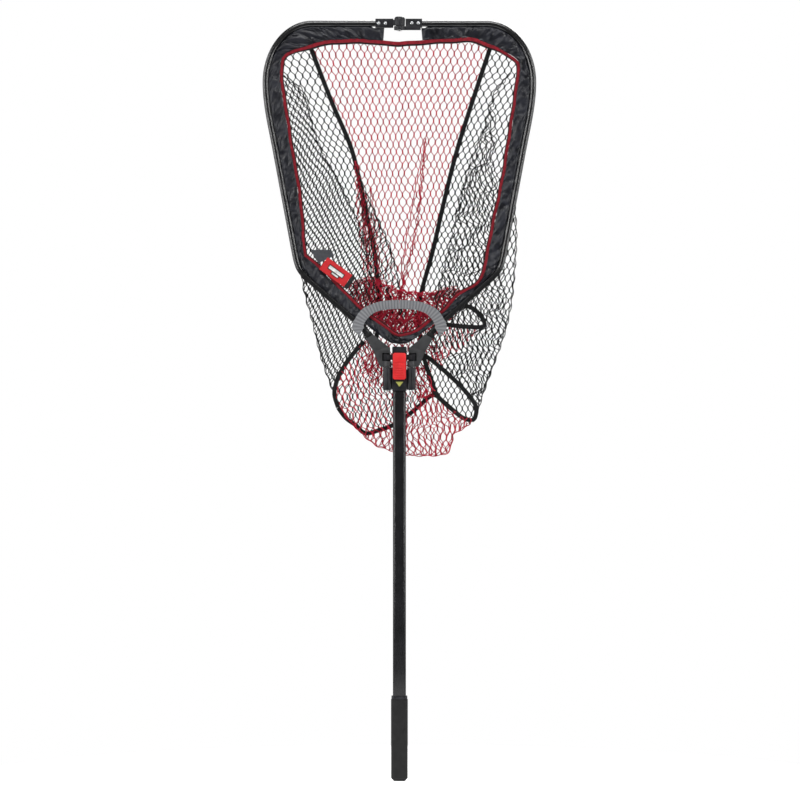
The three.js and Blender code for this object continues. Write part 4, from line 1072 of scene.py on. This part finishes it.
RIB_PITCH = 4.6
LOOP_HALF, LOOP_PUFF, LOOP_REACH, LOOP_STEPS = 0.0081, 0.0011, 0.01, 40
LOOP_SECTION = ((-1, 0), (-0.8, 0.5), (0, 0.6), (0.8, 0.5), (1, 0), (0.8, -0.5), (0, -0.6), (-0.8, -0.5))
RAIL_X, RAIL_Z = 0.75, -0.661  # the way the left rail runs inside its loop
# The webbing's ribs are also painted into its colour as light and dark bands: painted shade.
webbing = woven("grey_webbing", (0.16, 0.163, 0.172), rib=280, roughness=0.7, change=0.2, painted_rib_shade=True)
arch = flowing([
    (-87.5, 980.5), (-90, 990), (-91, 1003), (-84, 1020), (-70, 1035), (-46, 1046), (-22, 1049.5),
    (0, 1050.5),
], 1.15)
for side, sign in (("left", 1), ("right", -1)):
    ribs = 0.8 * np.abs(np.sin(arch[:, 0] * math.pi / RIB_PITCH)) * smooth((arch[:, 0] + 58) / 8)
    line = np.stack([arch[:, 0], -11.4 - ribs, arch[:, 1]], axis=1)
    width = 9.4 + 2.2 * smooth((-50 - arch[:, 0]) / 30) + 1.6 * smooth((1008 - arch[:, 1]) / 8) + ribs
    width = np.maximum(1.2, width - 12 * smooth((1000 - arch[:, 1]) / 20))
    strap = ribbon(f"{side}_strap_webbing", line, width, 2.4, webbing, sign)
    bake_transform(strap)
    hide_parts(f"{side}_strap")
    low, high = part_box(f"{side}_strap_loop")
    middle = (Vector(low) + Vector(high)) / 2
    across = Vector((RAIL_Z * sign, 0, -RAIL_X))
    along = Vector((RAIL_X * sign, 0, RAIL_Z))
    rings = []
    for i in range(LOOP_STEPS):
        angle = 2 * math.pi * i / LOOP_STEPS
        c, s = math.cos(angle), math.sin(angle)
        out = LOOP_HALF * (abs(c) ** 6 + abs(s) ** 6) ** (-1 / 6)
        hoop = []
        for v, deep in LOOP_SECTION:
            grow = out * (1 + deep * LOOP_PUFF / LOOP_HALF)
            hoop.append(middle + across * c * grow + Vector((0, s * grow, 0)) + along * v * LOOP_REACH)
        rings.append([tuple(spot) for spot in hoop])
    rings.append(rings[0])
    flat = [[(i * 0.0016, j * 0.002) for j in range(len(LOOP_SECTION))] for i in range(len(rings))]
    loop = shell(f"{side}_loop_webbing", rings, webbing, closed_ends=False, uv=flat)
    weld = bmesh.new()
    weld.from_mesh(loop.data)
    bmesh.ops.remove_doubles(weld, verts=weld.verts, dist=1e-6)
    bmesh.ops.recalc_face_normals(weld, faces=weld.faces)
    weld.to_mesh(loop.data)
    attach(loop, f"{side}_frame")
    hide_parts(f"{side}_strap_loop")

tag_red = woven("red_tag", (0.5, 0.016, 0.02), rib=5000, roughness=0.6, change=0.08)
tag_black = woven("black_tag_end", (0.014, 0.014, 0.015), rib=5000, roughness=0.7)
white_yarn = woven("white_tag_yarn", (0.62, 0.62, 0.61), rib=5000, roughness=0.7)
flap_cloth = woven("grey_tag_cloth", (0.05, 0.052, 0.06), rib=3000, roughness=0.7, change=0.15)
TAG_TURN, TAG_MIDDLE = math.radians(-36), (-140, 1121.5)


def on_tag(along, up, front):
    """A spot on the tag, which lies askew on the lower left of the sleeve."""
    c, s = math.cos(TAG_TURN), math.sin(TAG_TURN)
    x, z = TAG_MIDDLE
    return (x + along * c - up * s, front + 0.5 * math.sin(along / 9), z + along * s + up * c)


for name, start, end, up, half, stuff, front_face in (
    ("tag_patch", -34, 33, 0, 16.2, tag_red, -9.6),
    ("tag_end_fold", 33.2, 42.5, -0.4, 16.5, tag_black, -9.8),
    ("tag_bar_edge", -21, 20, 1.5, 5.6, tag_black, -10.3),
    ("tag_bar", -19, 18, 1.5, 3.6, white_yarn, -10.6),
    ("tag_short_edge", -8, 12, -6.5, 3.4, tag_black, -10.3),
    ("tag_short_bar", -6, 10, -6.5, 1.7, white_yarn, -10.6),
):
    count = 14 if end - start > 15 else 5
    line = [on_tag(along, up, front_face) for along in np.linspace(start, end, count)]
    patch = ribbon(name, line, half, 1.0 if half > 10 else 0.5, stuff)
    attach(patch, "left_frame")
    if name == "tag_patch":
        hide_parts("tag")
corners = [(-195, 1170), (-173, 1171.5), (-150, 1170.5), (-144, 1158), (-160, 1150), (-179, 1141)]
faces = [[(x / 1000, y / 1000, z / 1000) for x, z in corners] for y in (-9.4, -8.6)]
flap = shell("tag_flap", faces, flap_cloth, uv=[[(x, z) for x, y, z in face] for face in faces])
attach(flap, "left_frame")
